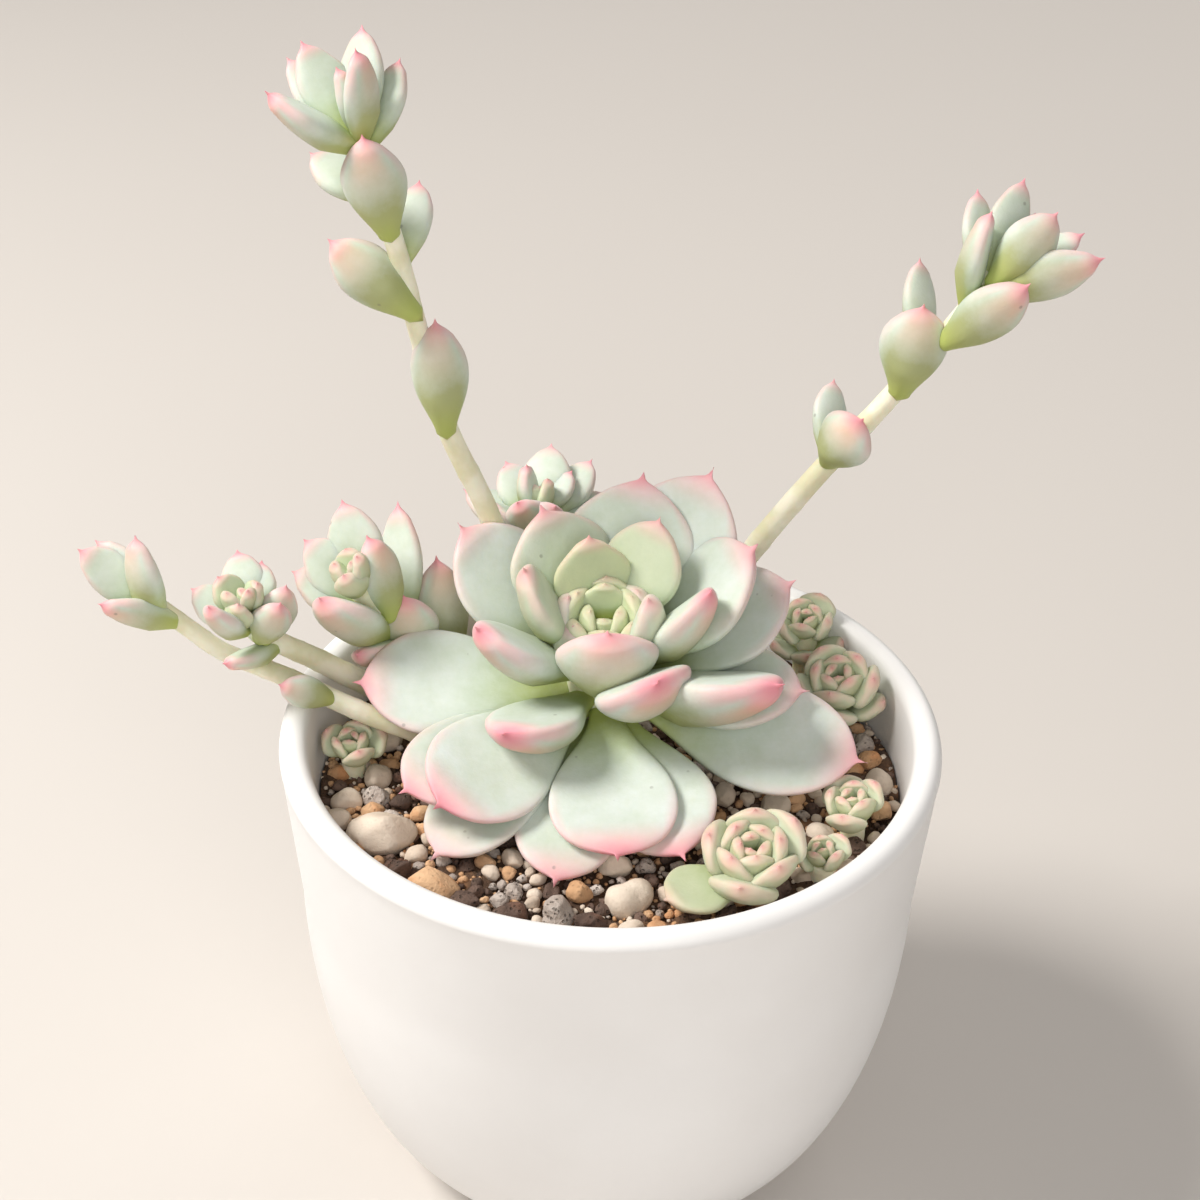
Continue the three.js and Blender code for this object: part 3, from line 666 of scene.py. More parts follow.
def make_main_rosette():
    leaves = Heap()
    for turn, rise, long, wide, thick, high, bend, roll, point, blush in MAIN_LEAVES:
        sides, rings = FINE if long > BIG_LEAF else COARSE
        grow_main_leaf(leaves, turn, rise, high, CORE_RADIUS - CORE_TAPER * high,
                       long, wide, thick, bend, roll, point, sides, rings, luck.random(4), blush,
                       gutter=1.0 if rise < 30 else 0.6,
                       young=min(1.0, max(0.0, (high - GREEN_FROM) / GREEN_OVER)))
    for turn, rise, long, wide, thick, high, distance, bend, point in HEART_LEAVES:
        grow_main_leaf(leaves, turn, rise, high, distance, long, wide, thick, bend, 0, point,
                       *COARSE, luck.random(4), 0.25, gutter=0.5, young=1.0)
    piece = leaves.piece("main_rosette_leaves")
    plant_points.append(np.concatenate(leaves.points))
    return dress(piece, "main_rosette", leaf_material)


def make_main_trunk():
    core = Heap()
    points, faces = spin(CORE, 28, *CORE_ENDS)
    core.add(points @ MAIN_LEAN.T + MAIN_AT, faces, old=0.0)
    grow_stalk(core, [(-1, 9, 46), (-1, 9, 54), (-1, 8, 62)], (4, 4.2), 28, 20, 5, 1.0)
    return dress(core.piece("main_rosette_trunk"), "main_rosette", stalk_material)


main_leaves, main_trunk = make_main_rosette(), make_main_trunk()
print(main_leaves.name, len(MAIN_LEAVES) + len(HEART_LEAVES), "leaves")
print(main_trunk.name, len(main_trunk.data.polygons), "faces")

# %% [markdown]
# ## Shoots
#
# Two stems have grown long and reach up and outwards, and runners carry small rosettes over
# the rim on the left and behind. Leaves sit one by one along each stem and crowd together at
# its end. Some leaves sit on one face of their stem and look away from it, so those rows
# end with one more number, the turn that the upper side faces.

# %% Shoots and runners
LEAF_SEAT = 1.2  # how far a leaf's root lies behind the face that it sits on
SMALL_LEAF = 7  # shorter leaves are young
# the radii at the foot and the top, the points of the stem, and a row for each leaf:
# place along the stem, turn, rise, long, wide, thick, bend, point, and the turn it faces
SHOOTS = {
    "tall_left_stem": ((1.6, 1.0), [
        (-10.5, 20, 46), (-10.5, 20, 56), (-12.4, 20, 66), (-15.3, 20, 78.4), (-20.4, 20, 91.2),
        (-23.3, 19.5, 103.6), (-25.7, 18.5, 115.8), (-27.8, 18, 123), (-29.6, 18, 129.5)], [
        (0.5, 215, 85, 15, 7, 4.4, 10, 0.6, 90), (0.66, 184, 44, 13.6, 6.8, 4, 14, 0.6, 110),
        (0.72, 77, 34, 11.1, 5, 3.4, 12, 0.6), (0.78, 234, 72, 13.4, 7.4, 4.4, 12, 0.6, 90),
        (0.85, 147, 14, 10.3, 5.8, 3.4, 12, 0.6), (0.97, 196, 31, 12.7, 6.6, 4, 10, 0.7),
        (0.99, 137, 42, 12.6, 6.4, 3.6, 10, 0.7), (0.98, 313, 82, 11.4, 6.2, 3.8, 10, 0.6),
        (0.99, 86, 49, 13, 5.8, 3.4, 8, 0.7), (0.96, 59, 39, 11.8, 5.6, 3.4, 12, 0.7),
        (0.99, 144, 30, 12.4, 5.4, 3, 12, 0.7), (0.99, 185, 80, 8.6, 4, 2.6, 8, 0.8)]),
    "right_stem": ((1.7, 1.1), [
        (11, 26, 46), (11.2, 26, 57), (14, 26, 64), (18.3, 26, 71.3), (25.3, 25, 82.4),
        (32.1, 24, 92.3), (38.6, 23, 102.3), (44, 22, 111.5)], [
        (0.6, 90, 32, 11.4, 5.2, 3.2, 14, 0.6), (0.6, 307, 61, 8.6, 7.6, 5.2, 20, 0.5),
        (0.82, 97, 43, 12.8, 5.2, 3.4, 10, 0.6), (0.76, 336, 79, 12, 8.4, 5.2, 14, 0.5, 90),
        (0.865, 325, 44, 14, 6.8, 4.6, 10, 0.6, 90), (0.93, 22, 87, 12.7, 6.4, 3.8, 10, 0.7),
        (0.98, 101, 44, 11.7, 5.4, 3.2, 10, 0.7), (0.99, 66, 45, 13, 5.4, 3.2, 8, 0.7),
        (0.99, 8, 50, 11.2, 6.4, 4.4, 8, 0.6, 90), (0.99, 15, 20, 12.3, 5, 3, 8, 0.7),
        (0.97, 350, 22, 14.5, 6, 3.8, 8, 0.7, 90), (0.99, 51, 32, 10.2, 5, 3, 8, 0.7)]),
    "left_runner": ((1.4, 1.1), [
        (-20, 3, 46), (-20, 3, 51), (-20.5, 3, 55), (-24, 2.5, 58.2), (-29.1, 2, 60.9),
        (-34, 2.4, 63.2), (-38.8, 4, 64.7), (-42.8, 6.5, 64.7), (-47.8, 8, 66), (-51.6, 8, 69.3),
        (-55.1, 8, 72.5)], [
        (0.985, 171, 36, 12.6, 5.8, 4, 10, 0.6), (0.985, 151, 40, 11.6, 5.2, 3.4, 10, 0.6),
        (0.96, 180, 73, 11.5, 5.8, 4, 14, 0.6, 45), (0.93, 203, 31, 11, 5.4, 3.4, -8, 0.6),
        (0.49, 209, 32, 8.2, 4.2, 2.8, 6, 0.6)]),
    "left_small_rosette": ((1.7, 1.2), [
        (-25, 12, 46), (-25, 12, 51), (-25.2, 12, 55), (-28, 11, 57.8), (-32.3, 9.8, 61.2),
        (-36.6, 8.5, 64.8), (-40.2, 7.5, 67.5), (-43.1, 6, 70.5), (-44.3, 4.5, 75.4)], [
        (0.92, 104, 37, 9.1, 5.8, 3.4, 14, 0.6), (0.9, 155, 16, 8.9, 5.4, 3.2, 12, 0.6),
        (0.96, 167, 51, 5.8, 4.6, 2.8, 16, 0.6), (0.84, 359, 66, 8.2, 5, 3.4, 14, 0.6, 110),
        (0.9, 239, 39, 9.4, 4.8, 3.2, 18, 0.6, 60), (0.86, 311, 51, 8.2, 5, 3.4, 20, 0.6, 100),
        (0.76, 225, 2, 8.6, 4.6, 3, 8, 0.6), (0.97, 6, 58, 4.4, 4, 2.4, 18, 0.6),
        (0.93, 263, 50, 5.4, 3.8, 2.4, 24, 0.6, 70), (0.97, 236, 44, 5, 3.6, 2.2, 22, 0.6),
        (0.98, 304, 50, 4.6, 3.2, 2, 20, 0.7), (0.99, 304, 78, 2.6, 2.8, 1.8, 16, 0.8),
        (0.93, 77, 32, 7.6, 5, 3, 14, 0.6)]),
    "left_medium_rosette": ((2, 1.5), [
        (-20, 16, 46), (-20, 16, 51), (-20.3, 16, 56), (-23, 15, 60), (-26.3, 14.2, 64.2),
        (-29, 11.5, 70.2), (-31.5, 9.5, 76)], [
        (0.73, 226, 37, 13.5, 8.4, 5, 14, 0.5, 60), (0.56, 244, 72, 11, 7.3, 4, 14, 0.5, 90),
        (0.42, 95, 66, 15.5, 7.4, 4.4, 12, 0.6, 120), (0.8, 155, 82, 11.5, 6.6, 4.4, 12, 0.6, 150),
        (0.68, 89, 49, 17, 6.4, 4, 10, 0.7), (0.88, 113, 50, 12.9, 7.2, 4, 12, 0.7),
        (0.86, 153, 33, 11.7, 7, 4, 10, 0.7), (0.82, 172, 22, 11.8, 6.4, 3.8, 8, 0.6),
        (0.8, 172, 21, 9.7, 5.4, 3.4, 8, 0.6), (0.96, 128, 69, 5.2, 4.6, 2.8, 20, 0.7),
        (0.97, 211, 42, 5, 4, 2.6, 22, 0.7), (0.98, 311, 65, 5, 4, 2.6, 22, 0.7),
        (0.95, 255, 36, 5.4, 4.4, 2.8, 26, 0.7), (0.99, 285, 61, 4, 3, 2, 20, 0.8),
        (0.64, 231, 15, 8, 6.4, 3.8, 8, 0.5, 60)]),
    "rear_rosette": ((2, 1.5), [
        (-7, 31, 46), (-7.3, 31, 58), (-9.3, 32.5, 66), (-10.1, 33, 72)], [
        (0.9, 78, 34, 11, 6.8, 3.8, 10, 0.6), (0.88, 49, 20, 12, 7, 3.8, 10, 0.6),
        (0.96, 160, 72, 7.2, 4.6, 3, 14, 0.6), (0.9, 122, 25, 9.6, 6, 3.4, 12, 0.6),
        (0.84, 156, 12, 11.4, 6.6, 3.6, 8, 0.6), (0.93, 249, 41, 7.6, 5.6, 3.4, 18, 0.6, 90),
        (0.84, 27, 11, 10.6, 7, 3.8, 8, 0.6), (0.84, 208, 32, 9, 6.4, 3.6, 10, 0.6),
        (0.96, 42, 26, 7.5, 5, 3, 14, 0.6), (0.98, 359, 65, 5.2, 4.4, 2.6, 16, 0.7),
        (0.98, 226, 73, 4.6, 4, 2.4, 18, 0.7), (0.93, 295, 39, 7, 5.6, 3.4, 18, 0.6, 90),
        (0.99, 319, 70, 4, 3, 2, 18, 0.8)])}


def make_shoot(name, radii, points, rows):
    leaves, stalk = Heap(), Heap()
    path = [np.array(p, float) for p in points]
    for place, turn, rise, long, wide, thick, bend, point, *face in rows:
        root, facing = spline_point(path, place), spline_way(path, min(0.97, place))
        if face:
            facing = direction(face[0], 0)
            root = root - facing * LEAF_SEAT
        blush, young = (0.6, 0.8) if long < SMALL_LEAF else (1.0, 0.12)
        grow_leaf(leaves, root, direction(turn, rise), facing, long, wide, thick, bend, 0, point,
                  24, 28, luck.random(4), blush, young=young)
    grow_stalk(stalk, points, radii, 20, 90, 12, 0.12)
    plant_points.append(np.concatenate(leaves.points + stalk.points))
    dress(leaves.piece(name + "_leaves"), name, leaf_material)
    return dress(stalk.piece(name + "_stalk"), name, stalk_material)


for shoot_name, (radii, points, rows) in SHOOTS.items():
    make_shoot(shoot_name, radii, points, rows)
print(len(SHOOTS), "shoots with", sum(len(s[2]) for s in SHOOTS.values()), "leaves")

# %% [markdown]
# ## Offsets
#
# Young plants crowd the edge of the pot. Each is a tight bowl of leaves, and each new leaf
# turns by the golden angle from the last, so a short rule sets them all. Two stand on a taller
# stalk and keep a skirt of older leaves below the bowl. The one in front has also dropped a
# single flat leaf on the grit.

# %% Offsets
GOLDEN_ANGLE = 137.5
# x, y, height of the heart, size, leaves, first turn, lean towards, lean by
OFFSETS = {
    "offset_left": (-31.5, 1.4, 56.4, 5.4, 9, 20, 250, 14),
    "offset_back_right": (25, 21.6, 62, 5.6, 9, 60, 250, 20),
    "offset_right": (28.6, 11.2, 60, 7.2, 12, 200, 240, 22),
    "offset_lower_right": (29, -9.8, 57, 5.8, 10, 110, 200, 14),
    "offset_small": (24.8, -18, 56.2, 4.4, 8, 40, 200, 14),
    "offset_front": (16.4, -20.6, 57.8, 8.5, 14, 255, 262, 18)}
SKIRT_DEPTHS = {"offset_back_right": 3.6, "offset_right": 3.2}
SKIRT_LEAVES, SKIRT_STEP = 5, 74
YOUNG_BLUSH = 0.62
# the third number, -2.0, is set, not random: it thins the flat leaf's bloom and darkens it
FLAT_TURN, FLAT_LUCK = 207, np.array([0.3, 0.6, -2.0, 0.5])


def grow_bowl(leaves, heart, size, count, start, lean):
    for i in range(count):
        age = 1 - i / (count - 1)
        turn, long = start + i * GOLDEN_ANGLE, size * (0.4 + 0.5 * age)
        seat = direction(turn, 0) * size * 0.12 + UPRIGHT * (0.2 - 1.6 * age)
        way = lean @ direction(turn, 76 - 52 * age)
        grow_leaf(leaves, heart + lean @ seat, way, lean @ UPRIGHT, long,
                  long * (1.02 + 0.04 * age), long * 0.46, 42, 0, 0.5, 24, 24,
                  luck.random(4), YOUNG_BLUSH, young=0.5 * (1 - age))


def grow_skirt(leaves, heart, size, depth, towards):
    for i in range(SKIRT_LEAVES):
        turn = towards + 20 + i * SKIRT_STEP
        root = heart + direction(turn, 0) - UPRIGHT * depth
        grow_leaf(leaves, root, direction(turn, 18), UPRIGHT, size * 0.82, size * 0.78,
                  size * 0.38, 24, 0, 0.5, 24, 24, luck.random(4), YOUNG_BLUSH)


def grow_flat_leaf(leaves, heart):
    root = heart + direction(FLAT_TURN, 0) - UPRIGHT * 1.6
    grow_leaf(leaves, root, direction(FLAT_TURN, -4), UPRIGHT, 10.5, 8.6, 2.8, 6, 0, 0.35, 28, 28,
              FLAT_LUCK, 0.4, gutter=0.6)


def make_offset(name, x, y, z, size, count, start, towards, by):
    heart, leaves, stalk = np.array([x, y, z]), Heap(), Heap()
    grow_bowl(leaves, heart, size, count, start, leaning(towards, by))
    if name in SKIRT_DEPTHS:
        grow_skirt(leaves, heart, size, SKIRT_DEPTHS[name], towards)
    if name == "offset_front":
        grow_flat_leaf(leaves, heart)
    grow_stalk(stalk, [(x, y, 49), (x, y, z - 2.5), (x, y, z - 0.5)], (1.4, 1.6), 16, 16, 4, 0.3)
    plant_points.append(np.concatenate(leaves.points))
    dress(leaves.piece(name + "_leaves"), name, young_leaf_material)
    return dress(stalk.piece(name + "_stalk"), name, stalk_material)


for offset_name, row in OFFSETS.items():
    make_offset(offset_name, *row)
print(len(OFFSETS), "offsets")

# %% [markdown]
# ## Pot
#
# The pot is cast ceramic with a thin matt white glaze. It is turned, so its outline is spun
# round the middle: a small foot, a belly that curves in quickly below, a nearly straight
# side and a half-round lip. Spinning a fine outline keeps the lip truly round.

# %% Pot
POT_HEIGHT, RIM_RADIUS = 62.0, 40.0
BELLY_RADIUS, BELLY_HEIGHT, FOOT_RADIUS = 38.1, 41.3, 20.6
WALL, FLOOR = 3.5, 4.5
POT_SIDES = 192
GLAZE_CLOUDS, GLAZE_PITS, GLAZE_WAVES = 26.0, 900.0, 120.0


def outer_radius(z):
    """The pot's outer radius at a height: an ellipse below, a straight side above."""
    t = np.clip(1 - z / BELLY_HEIGHT, 0, 1)
    bowl = FOOT_RADIUS + (BELLY_RADIUS - FOOT_RADIUS) * np.sqrt(np.maximum(0, 1 - t * t))
    slope = (RIM_RADIUS - BELLY_RADIUS) / (POT_HEIGHT - BELLY_HEIGHT)
    upper = BELLY_RADIUS + slope * (z - BELLY_HEIGHT)
    return np.where(z >= BELLY_HEIGHT, upper, bowl)


def pot_outline():
    foot = [(r, 0.0) for r in (6, 12, 18, 20.0)] + [(FOOT_RADIUS, 0.06)]
    heights = BELLY_HEIGHT * (1 - np.cos(np.pi / 2 * np.linspace(0.04, 1, 26)))
    outside = [(outer_radius(z), z) for z in (*heights, *np.linspace(44, 60.2, 9))]
    lip = WALL / 2
    middle = RIM_RADIUS - 0.08 - lip
    bend = [(middle + lip * math.cos(a), POT_HEIGHT - lip + lip * math.sin(a))
            for a in np.linspace(0.12, math.pi - 0.05, 15)]
    inside = [(outer_radius(z) - WALL, z) for z in np.linspace(59.6, 7, 28)]
    corner = outer_radius(FLOOR) - WALL
    floor = [(corner - 1.5, FLOOR + 0.4), (corner - 4, FLOOR), (10, FLOOR)]
    return np.array(foot + outside + bend + inside + floor, float)


def glaze_finish():
    material, tree, shader, where = new_material(
        "matt white glaze", 0.5, Coat_Weight=0.12, Coat_Roughness=0.35)
    clouds = grain(tree, where, GLAZE_CLOUDS, 4.0)
    share = step(tree, clouds, 0.3, 0.7)
    colour = blend_colour(tree, share, (0.83, 0.815, 0.80, 1), (0.87, 0.86, 0.85, 1))
    feed(tree, colour, shader.inputs["Base Color"])
    feed(tree, plus(tree, 0.4, times(tree, clouds, 0.2)), shader.inputs["Roughness"])
    pits = times(tree, grain(tree, where, GLAZE_PITS, 2.0), 0.3)
    height = plus(tree, pits, grain(tree, where, GLAZE_WAVES, 2.0))
    bump(tree, shader, height, 0.12, 0.0004)
    return material


pot_shell = make_piece("pot_shell", *spin(pot_outline(), POT_SIDES, 0.0, FLOOR))
dress(pot_shell, "pot", glaze_finish())
print("pot_shell", len(pot_shell.data.polygons), "faces")

# %% [markdown]
# ## What the grit is coloured with
#
# The top dressing is a mix of pale river pebbles, tan and orange baked-clay grains, dark
# lava and grey pumice over damp dark soil. All are stone, so one group gives them mottling,
# pores and dust, and each kind has its own colours.

# %% Group: mineral
MOTTLING, STAINS, PORES, ROUGHNESS = 420.0, 230.0, 1500.0, 1300.0
PORE_COLOUR = (0.10, 0.075, 0.055, 1)


def make_mineral_group():
    tree, given, result = new_group("mineral", {
        "Vector": "Where", "Float": "Tone Staining Pores", "Color": "Light Dark Stain"},
        {"Color": "Colour", "Float": "Height"})
    where = given["Where"]
    mottle = less(tree, grain(tree, where, MOTTLING, 5.0, 0.65), 0.45)
    share = plus(tree, times(tree, given["Tone"], 0.9), mottle, clamp=True)
    colour = blend_colour(tree, share, given["Dark"], given["Light"])
    stained = step(tree, grain(tree, where, STAINS), 0.52, 0.68)
    stained = times(tree, stained, given["Staining"])
    colour = blend_colour(tree, stained, colour, given["Stain"])
    pore = step(tree, less(tree, 0.32, cells(tree, where, PORES)), 0.0, 0.2)
    pore = times(tree, pore, given["Pores"])
    colour = blend_colour(tree, times(tree, pore, 0.6), colour, PORE_COLOUR)
    feed(tree, colour, result["Colour"])
    feed(tree, less(tree, grain(tree, where, ROUGHNESS, 4.0, 0.7), pore), result["Height"])
    return tree


mineral = make_mineral_group()


def stone_finish(name, light, dark, stain, amount, pores, rough, strength):
    material, tree, shader, where = new_material(name, rough, Specular_IOR_Level=0.3)
    look = use_group(tree, mineral, Where=where, Tone=mark(tree, "tone"), Light=light, Dark=dark,
                     Stain=stain, Staining=amount, Pores=pores)
    feed(tree, look["Colour"], shader.inputs["Base Color"])
    bump(tree, shader, look["Height"], strength, 0.0005)
    return material


PALE, TAN, LAVA, PUMICE = "pale_pebbles", "tan_grains", "lava_grains", "pumice_grains"
STONE_KINDS = {
    PALE: stone_finish("pale pebble", (0.80, 0.69, 0.57, 1), (0.54, 0.43, 0.34, 1),
                       (0.42, 0.30, 0.20, 1), 0.3, 0.12, 0.75, 0.35),
    TAN: stone_finish("tan baked clay", (0.76, 0.49, 0.29, 1), (0.46, 0.24, 0.11, 1),
                      (0.55, 0.22, 0.08, 1), 0.5, 0.3, 0.85, 0.6),
    LAVA: stone_finish("dark lava", (0.20, 0.13, 0.10, 1), (0.075, 0.05, 0.04, 1),
                       (0.22, 0.10, 0.06, 1), 0.5, 0.9, 0.9, 1.0),
    PUMICE: stone_finish("grey pumice", (0.66, 0.58, 0.52, 1), (0.34, 0.28, 0.24, 1),
                         (0.33, 0.25, 0.20, 1), 0.4, 0.8, 0.9, 1.0)}
soil_material = stone_finish("damp soil", (0.20, 0.115, 0.07, 1), (0.05, 0.03, 0.02, 1),
                             (0.30, 0.15, 0.07, 1), 0.6, 0.6, 0.95, 1.0)
print(len(STONE_KINDS), "kinds of stone")

# %% [markdown]
# ## Soil bed
#
# Under the stones lies crumbly soil. It fills the pot a hair inside the wall, and its top is
# a disc of rings lifted by layered waves, so that crumbs and hollows catch the light.

# %% Soil bed
SOIL_LEVEL, SOIL_GAP, SOIL_DIP = 53.0, 0.3, 0.5
SOIL_SIDES, SOIL_RINGS, SOIL_TONE = 200, 80, 0.35
CRUMBS, HOLLOWS = (0.16, 5, 14, 1.1), (0.22, 9, 8, 4.0)  # height, seed, waves, shortest wave


def ripples(x, y, seed, waves, shortest):
    """Layered waves in random directions: a rough height for each point."""
    dice = np.random.default_rng(seed)
    height = np.zeros_like(x)
    for i in range(waves):
        size = shortest * (1 + 5 * dice.random())
        turn, shift = dice.random(2) * 2 * np.pi
        along = (x * np.cos(turn) + y * np.sin(turn)) * 2 * np.pi / size
        height += np.sin(along + shift) * size ** 0.6
    return height / (waves ** 0.5 * shortest ** 0.6)


def soil_radius(z):
    return outer_radius(z) - WALL - SOIL_GAP


def make_soil_bed():
    depths = [5.0, 6.5, 9, 17, 28, BELLY_HEIGHT, 50.0]
    rings = [circle(soil_radius(z), z, SOIL_SIDES) for z in depths]
    rings[0] *= (0.9, 0.9, 1)
    reach, top = soil_radius(SOIL_LEVEL), SOIL_LEVEL - SOIL_DIP
    for radius in np.linspace(reach, reach / SOIL_RINGS, SOIL_RINGS):
        ring = circle(radius, top, SOIL_SIDES)
        ring[:, 2] += sum(lift * ripples(ring[:, 0], ring[:, 1], *kind)
                          for lift, *kind in (CRUMBS, HOLLOWS))
        rings.append(ring)
    points = np.concatenate(rings + [[(0, 0, FLOOR), (0, 0, top)]])
    faces = skin_faces(len(rings), SOIL_SIDES)
    bed = make_piece("soil_bed", points, faces, {"tone": np.full(len(points), SOIL_TONE)})
    return dress(bed, "soil", soil_material)


soil_bed = make_soil_bed()
print("soil_bed", len(soil_bed.data.polygons), "faces")

# %% [markdown]
# ## Shape of a stone
#
# Each stone starts as a ball of small triangles. Soft waves swell it unevenly and a few flat
# cuts chip it, little for a river pebble and a lot for lava. Sculpting thousands by hand would
# take days, and a few copies would show, so each stone gets its own waves and cuts.

# %% Shape of a stone
def ball(level):
    """The points and triangles of a round ball, finer with each level."""
    form = bmesh.new()
    bmesh.ops.create_icosphere(form, subdivisions=level, radius=1.0)
    points = np.array([v.co[:] for v in form.verts])
    faces = [tuple(v.index for v in face.verts) for face in form.faces]
    form.free()
    return points, faces


BALLS = {level: ball(level) for level in (1, 2, 3, 4)}
# how much a kind swells unevenly, how many flat cuts it has, and how far out they lie
STONE_SHAPES = {PALE: (0.10, 5, 0.84), TAN: (0.12, 8, 0.78), LAVA: (0.18, 11, 0.72),
                PUMICE: (0.20, 8, 0.80)}
SWELLS = 6


def carve(level, kind, dice):
    """The points and triangles of one stone about as wide as 2."""
    points, faces = BALLS[level]
    swell, cuts, depth = STONE_SHAPES[kind]
    size = np.ones(len(points))
    for i in range(SWELLS):
        way = unit(dice.normal(size=3)) * (1.2 + 2.2 * dice.random() * (1 + i * 0.4))
        size += swell * np.sin(points @ way + dice.random() * 6.28) / (1 + 0.35 * i)
    shape = points * size[:, None]
    for _ in range(cuts):
        way = unit(dice.normal(size=3))
        over = shape @ way - (depth + 0.16 * dice.random())
        shape -= np.outer(np.maximum(0, over) * 0.85, way)
    return shape, faces


print("balls with", [len(BALLS[level][1]) for level in BALLS], "triangles")

# %% [markdown]
# ## Stones
#
# The large stones lie where they are seen. The others are thrown at random from a fixed seed,
# large ones first, as when a pot is top-dressed and the fine grains run into the gaps. A stone
# is kept only where it clears its neighbours, the wall and the plants.

# %% Stones
# x, y, length, width, height, turn, kind, tone
NAMED_STONES = [
    (-27.2, -12, 7.8, 5.6, 4.6, 5, PALE, 0.8), (2.4, -22.6, 5.8, 5.2, 4.6, 0, PALE, 0.85),
    (-20.4, -21.2, 6.3, 4.6, 4.2, -15, TAN, 0.95), (-25, -18.4, 3.8, 3.2, 3, 0, LAVA, 0.4),
    (-11, -25.8, 4.8, 3.8, 3.6, 20, LAVA, 0.6), (-6, -25.2, 4.2, 3.8, 3.4, 0, PUMICE, 0.6),
    (-2.2, -27, 4, 3, 3, 0, LAVA, 0.3), (2.4, -27.6, 3.2, 2.6, 2.6, 0, PALE, 0.6),
    (-28.4, -0.6, 3.8, 3.4, 3.2, 60, PALE, 0.7), (-31.8, -4.8, 3.6, 3.2, 3, 0, PALE, 0.75),
    (-32.6, -8.6, 3.4, 3, 2.8, 0, PALE, 0.7), (-22.6, -14.8, 2.8, 2.4, 2.2, 0, PALE, 0.6),
    (33, 0, 3.8, 3, 3, 80, PALE, 0.7), (32.4, 4.6, 3.2, 2.8, 2.6, 10, TAN, 0.5)]
# how many throws, shortest and longest stone, ball level, and the share of each kind
THROWS = [
    (150, 3.0, 4.6, 4, (0.50, 0.20, 0.18, 0.12)), (1500, 1.8, 3.0, 3, (0.34, 0.26, 0.22, 0.18)),
    (6500, 1.0, 1.7, 2, (0.26, 0.36, 0.24, 0.14)), (9000, 0.5, 0.95, 1, (0.20, 0.42, 0.28, 0.10))]


CLOSENESS, PLANT_ROOM, WALL_ROOM = 0.86, 0.95, 0.1  # below 1, neighbours overlap a little
STONE_TILT, STONE_DIP = 0.6, 0.35


def plant_finder():
    """A search tree of the plants' points near the grit."""
    cloud = np.concatenate(plant_points)
    cloud = cloud[cloud[:, 2] < SOIL_LEVEL + 7]
    finder = kdtree.KDTree(len(cloud))
    for i, point in enumerate(cloud):
        finder.insert(point, i)
    finder.balance()
    return finder


def scatter_stones():
    dice, plants = np.random.default_rng(11), plant_finder()
    wall = outer_radius(SOIL_LEVEL) - WALL
    heaps = {kind: Heap() for kind in STONE_KINDS}
    laid = np.zeros((0, 3))

    def lay(x, y, sizes, turn, kind, tone, level, sink):
        nonlocal laid
        reach = (sizes[0] + sizes[1]) / 4
        if math.hypot(x, y) + reach > wall - WALL_ROOM:
            return
        across, along, others = laid.T
        if np.any(np.hypot(across - x, along - y) < (others + reach) * CLOSENESS):
            return
        z = SOIL_LEVEL - STONE_DIP + sizes[2] * sink
        if plants.find((x, y, z))[2] < reach * PLANT_ROOM:
            return
        shape, faces = carve(level, kind, dice)
        tilt = np.array(Matrix.Rotation((dice.random() - 0.5) * STONE_TILT, 3, (1, 0, 0)))
        spun = np.array(Matrix.Rotation(math.radians(turn), 3, (0, 0, 1)))
        points = (shape * np.array(sizes) / 2) @ (spun @ tilt).T + (x, y, z)
        heaps[kind].add(points, faces, tone=tone)
        laid = np.vstack([laid, (x, y, reach)])

    for x, y, length, width, height, turn, kind, tone in NAMED_STONES:
        lay(x, y, (length, width, height), turn, kind, tone, 4, 0.2)
    kinds = list(STONE_KINDS)
    for throws, short, long, level, shares in THROWS:
        for _ in range(throws):
            radius, a = wall * math.sqrt(dice.random()), dice.random() * 2 * math.pi
            length = short + (long - short) * dice.random() ** 1.6
            width = length * (0.7 + 0.25 * dice.random())
            height = length * (0.6 + 0.25 * dice.random())
            kind = kinds[int(dice.choice(4, p=shares))]
            lay(radius * math.cos(a), radius * math.sin(a), (length, width, height),
                dice.random() * 360, kind, 0.25 + 0.7 * dice.random(), level,
                0.15 + 0.2 * dice.random())
    return heaps, len(laid)


stone_heaps, stone_count = scatter_stones()
for kind, heap in stone_heaps.items():
    dress(heap.piece(kind), "soil", STONE_KINDS[kind])
    print(kind, len(heap.faces), "faces")
print(stone_count, "stones")

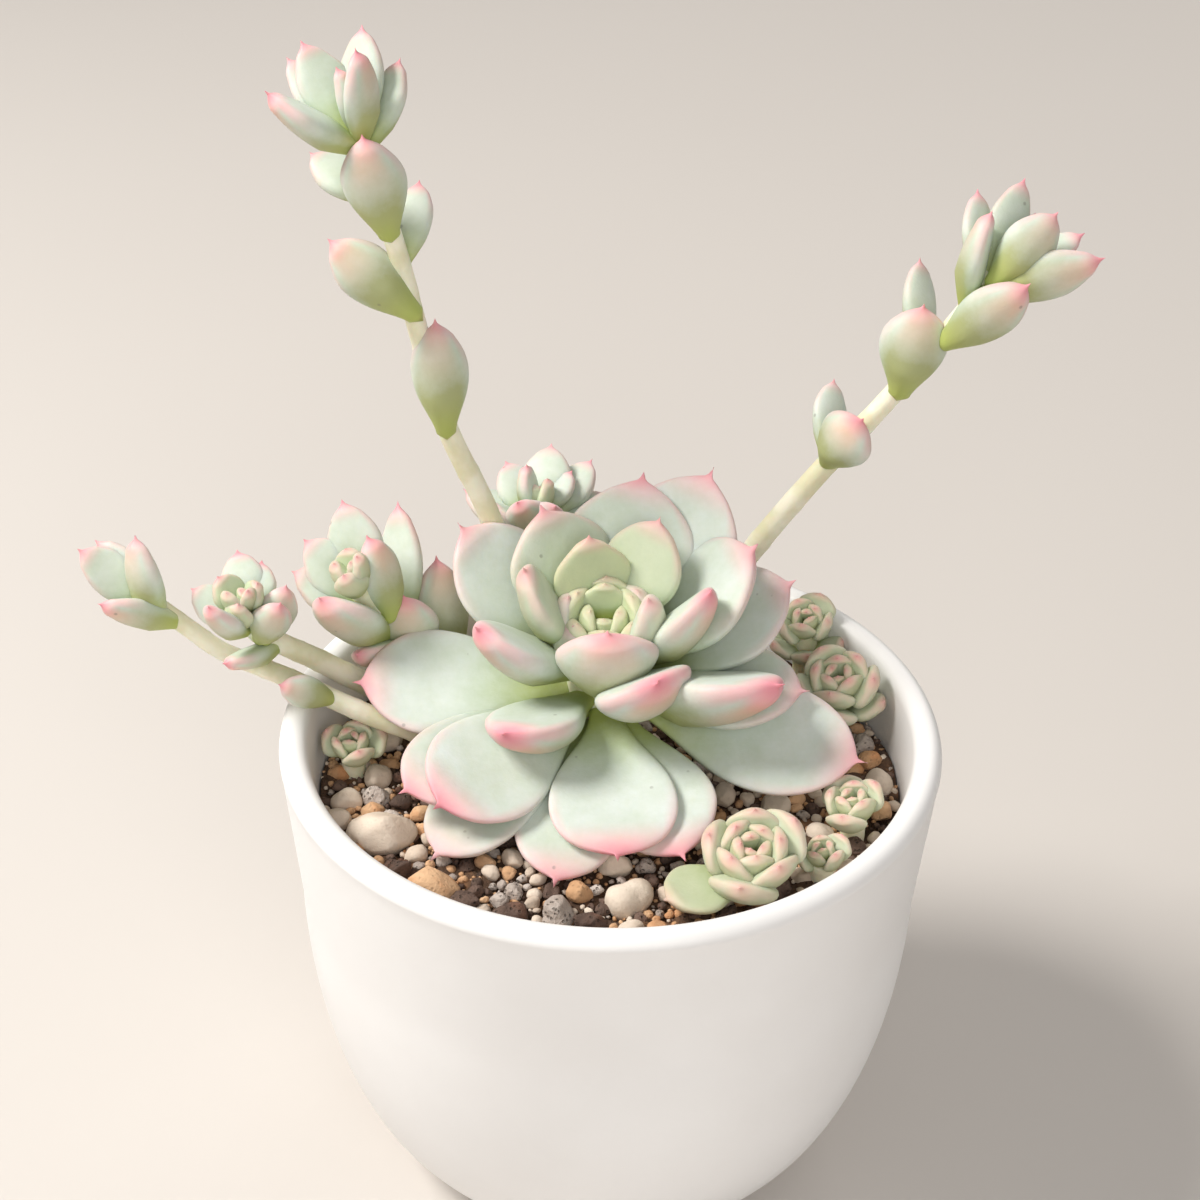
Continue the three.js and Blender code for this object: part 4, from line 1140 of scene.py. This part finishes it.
# %% [markdown]
# ## Floor and light
#
# The object stands on a plain pale floor. A broad soft light from the left and above shapes
# the leaves, and two weak ones in front and behind fill the shadows. Soft lights suit the
# half-matt skin, where a hard one would make small hot spots.

# %% Floor and light
FLOOR_REACH, FLOOR_DROP = 2500.0, 0.05
AIM = (0, 0, 0.07)


def make_floor():
    corners = [(-1, -1), (1, -1), (1, 1), (-1, 1)]
    points = [(x * FLOOR_REACH, y * FLOOR_REACH, -FLOOR_DROP) for x, y in corners]
    floor = make_piece("floor", points, [(0, 1, 2, 3)])
    material, tree, shader, where = new_material("pale floor", 0.8)
    clouds = grain(tree, where, 3.0, 2.0)
    tint = blend_colour(tree, clouds, (0.60, 0.56, 0.52, 1), (0.64, 0.60, 0.56, 1))
    feed(tree, tint, shader.inputs["Base Color"])
    floor.data.materials.append(material)
    floor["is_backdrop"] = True


def soft_light(name, at, size, power, colour):
    data = bpy.data.lights.new(name, "AREA")
    data.shape, data.size, data.energy, data.color = "DISK", size, power, colour
    lamp = bpy.data.objects.new(name, data)
    back = unit(np.array(at) - AIM)
    side = unit(np.cross((0, 0, 1), back))
    set_in_place(lamp, side, np.cross(back, side), back, at)


def make_sky():
    world = bpy.data.worlds.new("soft sky")
    world.use_nodes = True
    sky = world.node_tree.nodes["Background"]
    sky.inputs["Color"].default_value = (1.0, 0.985, 0.97, 1)
    sky.inputs["Strength"].default_value = 0.32
    bpy.context.scene.world = world
    bpy.context.scene.view_settings.view_transform = "Standard"


make_floor()
make_sky()
soft_light("main light", (-0.48, 0.02, 0.64), 0.28, 6.4, (1.0, 0.975, 0.94))
soft_light("front fill", (0.10, -0.75, 0.45), 0.60, 3.0, (1.0, 0.98, 0.96))
soft_light("back fill", (0.35, 0.65, 0.50), 0.50, 1.2, (1.0, 0.97, 0.94))
print("floor and lights made")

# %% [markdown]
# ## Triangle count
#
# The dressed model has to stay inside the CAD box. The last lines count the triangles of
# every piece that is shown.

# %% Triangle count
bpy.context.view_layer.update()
total = sum(sum(len(p.vertices) - 2 for p in o.data.polygons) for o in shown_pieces())
print("triangles in all", total)
